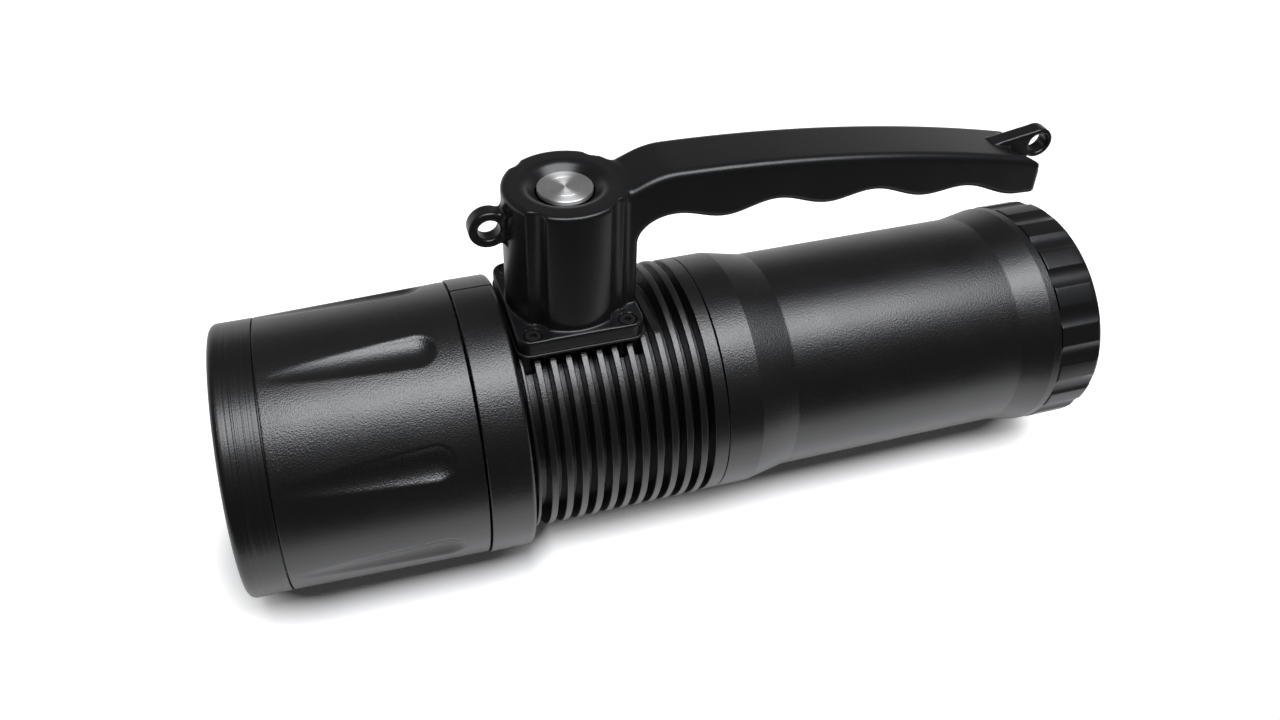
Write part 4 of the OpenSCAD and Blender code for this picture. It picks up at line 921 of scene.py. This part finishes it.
def with_bores(solid, x, y, z):
    """Cuts the bores, the switch's recess, the screws' seats and the grooves that let a key in."""
    axis = np.hypot(x, y)
    wall = (RECESS_R - RECESS_FLOOR_R) / (POST_TOP - RECESS_FLOOR)
    steep = 1 / math.hypot(1, wall)
    funnel = (axis - RECESS_FLOOR_R - (z - RECESS_FLOOR) * wall) * steep
    solid = cut_away(solid, np.maximum(funnel, RECESS_FLOOR - z), RECESS_ROUND)
    solid = cut_away(solid, axis - BARREL_HOLE_R, BORE_ROUND)
    solid = cut_away(solid, np.maximum(axis - POST_BORE_R, z - PANEL_LOW), BORE_ROUND)
    seat = np.hypot(np.abs(x) - SCREW_X, y - SCREW_Y)
    solid = cut_away(solid, np.maximum(seat - COUNTERBORE_R, SEAT_H - z), SEAT_ROUND)
    return cut_away(solid, np.maximum(seat - KEY_GROOVE_R, FLANGE_TOP - z), KEY_GROOVE_ROUND)


def handle_distance(x, y, z):
    """Signed distance of the handle: base flange, post, web, grip and both lugs."""
    x, y, z = x - POST_X, np.abs(y), z - AXIS_Z
    post = round_both(np.hypot(x, y) - POST_R, z - POST_TOP, POST_EDGE)
    solid = round_either(post, grip_distance(x, y, z), POST_FILLET)
    solid = round_either(solid, flange_distance(x, y, z), FLANGE_FILLET)
    solid = round_both(solid, FLANGE_LOW - z, FOOT_ROUND)
    solid = with_front_lug(solid, x, y, z)
    solid = with_rear_lug(solid, x, y, z)
    return with_bores(solid, x, y, z)


def handle():
    lows, highs = low("handle") - CELL_MARGIN, high("handle") + CELL_MARGIN
    points, quads = surface_of(handle_distance, lows, highs, CELL)
    piece = add_mesh("handle_cast", points, quads.tolist(), "lamp_body", MATERIALS["satin_black"], CAST_SHARP_ANGLE)
    return dress(piece, "satin_black", "handle")


# Switch

DISC_TOP = high("switch_body")[2]
DISC_R = (high("switch_body")[0] - low("switch_body")[0]) / 2
DISC_LOW = DISC_TOP - 1.6
DISC_ROUND, DISC_EDGE = 0.4, 0.15
SWITCH_BARREL_R = 8.0
SWITCH_BARREL_ROUND = 0.3
BUTTON_R = (high("push_button")[0] - low("push_button")[0]) / 2
BUTTON_LOW = low("push_button")[2]
BUTTON_GAP = 0.08
BUTTON_POCKET = 4.0
BUTTON_ROUND, BUTTON_FOOT_ROUND, CUP_ROUND, CUP_MOUTH_ROUND = 0.25, 0.2, 0.2, 0.1
PRESS = 2.0
SPRING_ROOM = 0.3


def switch():
    """The steel head over the barrel."""
    barrel_low, pocket = low("switch_body")[2], BUTTON_LOW - BUTTON_POCKET
    gap_r = BUTTON_R + BUTTON_GAP
    corners = [
        (0, barrel_low, 0), (SWITCH_BARREL_R, barrel_low, SWITCH_BARREL_ROUND), (SWITCH_BARREL_R, DISC_LOW, 0),
        (DISC_R, DISC_LOW, DISC_EDGE), (DISC_R, DISC_TOP, DISC_ROUND), (gap_r, DISC_TOP, DISC_EDGE),
        (gap_r, pocket, 0), (0, pocket, 0),
    ]
    body = lathe("switch_turned", filleted(corners, steps=3), "lamp_body", MATERIALS["steel"], turns=96, upright=True)
    return dress(body, "steel", "switch_body")


def button():
    """The button, with a cup below that takes the spring when it is pressed."""
    cup_r, cup_top = high("switch_spring")[1] + SPRING_ROOM, BUTTON_LOW + PRESS + SPRING_ROOM
    corners = [
        (0, cup_top, 0), (cup_r, cup_top, CUP_ROUND), (cup_r, BUTTON_LOW, CUP_MOUTH_ROUND),
        (BUTTON_R, BUTTON_LOW, BUTTON_FOOT_ROUND), (BUTTON_R, DISC_TOP, BUTTON_ROUND), (0, DISC_TOP, 0),
    ]
    cap = lathe("button_turned", filleted(corners, steps=3), "button", MATERIALS["steel"], turns=96, upright=True)
    return dress(cap, "steel", "push_button")


# Reflector and lens

FOCAL = 7.0
REFLECTOR_WALL = 1.2
MOUTH_SETBACK = 1.2
REFLECTOR_STEPS = 60
LENS_ROUND = 0.4


def reflector():
    """A parabolic bowl behind the lens, whose throat lets the lamp in, and its flange."""
    lens_x, throat_x = high("lens")[0], high("reflector")[0]
    mouth_x, vertex_x = lens_x + MOUTH_SETBACK, throat_x + FOCAL
    places = np.linspace(mouth_x, throat_x, REFLECTOR_STEPS)
    inner = [(math.sqrt(4 * FOCAL * (vertex_x - x)), x) for x in places]
    outer = [(r + REFLECTOR_WALL, x) for r, x in inner[::-1]]
    outline = np.array(inner + outer + [(LENS_R, mouth_x), (LENS_R, lens_x), (APERTURE_R, lens_x)])
    bowl = lathe("reflector_bowl", outline, "head", MATERIALS["mirror_coat"])
    return dress(bowl, "mirror_coat", "reflector")


def lens():
    x0, x1 = low("lens")[0], high("lens")[0]
    corners = [(0, x0, 0), (LENS_R, x0, LENS_ROUND), (LENS_R, x1, LENS_ROUND), (0, x1, 0)]
    disc = lathe("lens_disc", filleted(corners, steps=3), "head", MATERIALS["lens_glass"])
    return dress(disc, "lens_glass", "lens")


for make in (bezel, head, collar, heat_sink, plinth, gasket, battery_tube, tail_cap, handle, switch, button,
             reflector, lens):
    make()

SCREW_BEVEL = 0.15
SCREW_BEVEL_STEPS = 2

for name in ("base_screws", "collar_screw"):
    bevel = frame["nodes"][name].modifiers.new("bevel", "BEVEL")
    bevel.width = SCREW_BEVEL * MM
    bevel.segments = SCREW_BEVEL_STEPS
    bevel.limit_method = "ANGLE"


# Stage, in metres

PAPER = ((0.79, 0.79, 0.79), (0.81, 0.81, 0.81))
# The paper's glow under the lamp, where it is nearly off and paints a shadow, and away from it, and how far from the
# lamp's axis the painted shadow ends
PAPER_GLOW_AND_PAINTED_SHADOW = (0.02, 0.8)
PAINTED_SHADOW_REACH = (0.027, 0.045)
# How much narrower the painted shadow is beside the tube
PAINTED_SHADOW_TUBE_INSET = 0.011
SHINE_SHARE = 0.36
FAR_GLOW = 0.4
FAR_REACH = (0.2, 0.8)
FLOOR_FRONT = 0.115
FLOOR_REACH = 6.0
WORLD_LEVEL = 0.06
# The white wall: where it begins and is full, sideways and upwards, by the direction's parts
BACKDROP_LEVEL = 0.8
WALL_SIDE = (-0.1, 0.3)
WALL_HEIGHT = (0.08, 0.42)
WALL_TOP_SHARE = 0.15
SOFTBOX_LEVEL = 7.3
SOFTBOX_SIZE = (1.2, 0.56)
SOFTBOX_PLACE = (0.15, -0.40, 1.11)
SOFTBOX_AIM = (0.1, 0, 0.07)
SOFTBOX_SPIN = -7.0
SOFTBOX_COLOR = (0.96, 0.97, 1.0)


def softbox():
    """One lamp above the viewer's side, spun about its own axis by some degrees. A level of 1 shows as white."""
    data = bpy.data.lights.new("over", "AREA")
    data.shape = "RECTANGLE"
    data.size, data.size_y = SOFTBOX_SIZE
    data.energy = SOFTBOX_LEVEL * math.pi * SOFTBOX_SIZE[0] * SOFTBOX_SIZE[1]
    data.color = SOFTBOX_COLOR
    lamp = bpy.data.objects.new("over", data)
    lamp.location = SOFTBOX_PLACE
    aim = (Vector(SOFTBOX_AIM) - Vector(SOFTBOX_PLACE)).to_track_quat("-Z", "Y").to_matrix()
    lamp.rotation_euler = (aim @ Matrix.Rotation(math.radians(SOFTBOX_SPIN), 3, "Z")).to_euler()
    bpy.context.scene.collection.objects.link(lamp)


def floor():
    """A sheet of paper that ends in front of the lamp. It shines for rays that see the background, but for a strip
    beside the lamp, narrower beside the tube, where the glow is nearly left out: a painted shadow that deepens the
    lamp's own."""
    n = Nodes("paper")
    parts = n.apart(n.coordinates())
    half_l = float(high("tail_cap")[0]) * MM - PAINTED_SHADOW_REACH[0]
    past = n.math("MAXIMUM", n.math("SUBTRACT", n.math("ABSOLUTE", parts["X"]), half_l), 0.0)
    tube_x = float(high("collar")[0]) * MM
    inset = n.spread(parts["X"], 0.0, PAINTED_SHADOW_TUBE_INSET, tube_x, tube_x + PAINTED_SHADOW_TUBE_INSET)
    beside = n.math("ADD", n.math("ABSOLUTE", parts["Y"]), inset)
    away = n.math("SQRT", n.math("ADD", n.math("MULTIPLY", past, past), n.math("MULTIPLY", beside, beside)))
    # Nearly no glow in a strip beside the lamp, for the camera and in reflections: a painted shadow, narrower beside
    # the tube
    glow_with_painted_shadow = n.spread(away, *PAPER_GLOW_AND_PAINTED_SHADOW, *PAINTED_SHADOW_REACH)
    glow = n.math("ADD", glow_with_painted_shadow, n.spread(away, 0.0, FAR_GLOW, *FAR_REACH))
    path = n.add("ShaderNodeLightPath").outputs
    mirrored = n.math("MULTIPLY", path["Is Glossy Ray"], SHINE_SHARE)
    seen = n.math("MAXIMUM", n.math("MAXIMUM", path["Is Camera Ray"], mirrored), path["Is Transmission Ray"])
    n.link(n.math("MULTIPLY", seen, glow), n.shader.inputs["Emission Strength"])
    n.shader.inputs["Emission Color"].default_value = (1, 1, 1, 1)
    paper = n.done(n.mix(n.noise(3.0), *PAPER), 0.9, n.bump(n.noise(900.0), 0.00002), Specular_IOR_Level=0.1)
    mesh = bpy.data.meshes.new("floor")
    far, near = FLOOR_REACH, -FLOOR_FRONT
    mesh.from_pydata([(-far, near, 0), (far, near, 0), (far, far, 0), (-far, far, 0)], [], [(0, 1, 2, 3)])
    mesh.materials.append(paper)
    sheet = bpy.data.objects.new("floor", mesh)
    bpy.context.scene.collection.objects.link(sheet)


def studio():
    """White for the camera. Shiny things see a dark room and a white wall behind the lamp, which fades upwards."""
    world = bpy.data.worlds.new("studio")
    bpy.context.scene.world = world
    world.use_nodes = True
    n = Tree(world.node_tree)
    path = n.add("ShaderNodeLightPath").outputs
    parts = n.apart(n.add("ShaderNodeTexCoord").outputs["Generated"])
    wall = n.math("MULTIPLY", n.spread(parts["Y"], 0.0, BACKDROP_LEVEL, *WALL_SIDE),
                  n.spread(parts["Z"], 1.0, WALL_TOP_SHARE, *WALL_HEIGHT))
    shiny = n.math("MAXIMUM", path["Is Glossy Ray"], path["Is Transmission Ray"])
    level = n.math("MAXIMUM", n.math("MULTIPLY", wall, shiny), WORLD_LEVEL)
    back = n.tree.nodes["Background"]
    back.inputs["Color"].default_value = (1, 1, 1, 1)
    n.link(n.math("MAXIMUM", level, path["Is Camera Ray"]), back.inputs["Strength"])


# The camera stands where the photograph was taken: its place in millimetres, angles in degrees, and the focal
# length and the picture's shift in the photograph's pixels
PHOTO_W = 1280.0
FOCAL_PX = 1116.8
EYE = (-116.1, -297.4, 341.5)
YAW, PITCH, ROLL = 16.37, 36.14, 0.51
SHIFT_PX = (-45.1, -109.7)
SENSOR_W = 36.0
CLIP_START, CLIP_END = 0.01, 50


def camera():
    data = bpy.data.cameras.new("camera")
    data.sensor_fit = "HORIZONTAL"
    data.sensor_width = SENSOR_W
    data.lens = FOCAL_PX / PHOTO_W * data.sensor_width
    data.shift_x = -SHIFT_PX[0] / PHOTO_W
    data.shift_y = SHIFT_PX[1] / PHOTO_W
    data.clip_start = CLIP_START
    data.clip_end = CLIP_END
    yaw, pitch, roll = (math.radians(v) for v in (YAW, PITCH, ROLL))
    forward = Vector((math.sin(yaw) * math.cos(pitch), math.cos(yaw) * math.cos(pitch), -math.sin(pitch)))
    right = Vector((math.cos(yaw), -math.sin(yaw), 0))
    up = right.cross(forward)
    right, up = right * math.cos(roll) + up * math.sin(roll), up * math.cos(roll) - right * math.sin(roll)
    turn = Matrix((right, up, -forward)).transposed()
    eye = bpy.data.objects.new("camera", data)
    eye.matrix_world = Matrix.Translation(Vector(EYE) * MM) @ turn.to_4x4()
    bpy.context.scene.collection.objects.link(eye)
    bpy.context.scene.camera = eye


floor()
studio()
softbox()
camera()
bpy.context.scene.view_settings.view_transform = "Standard"
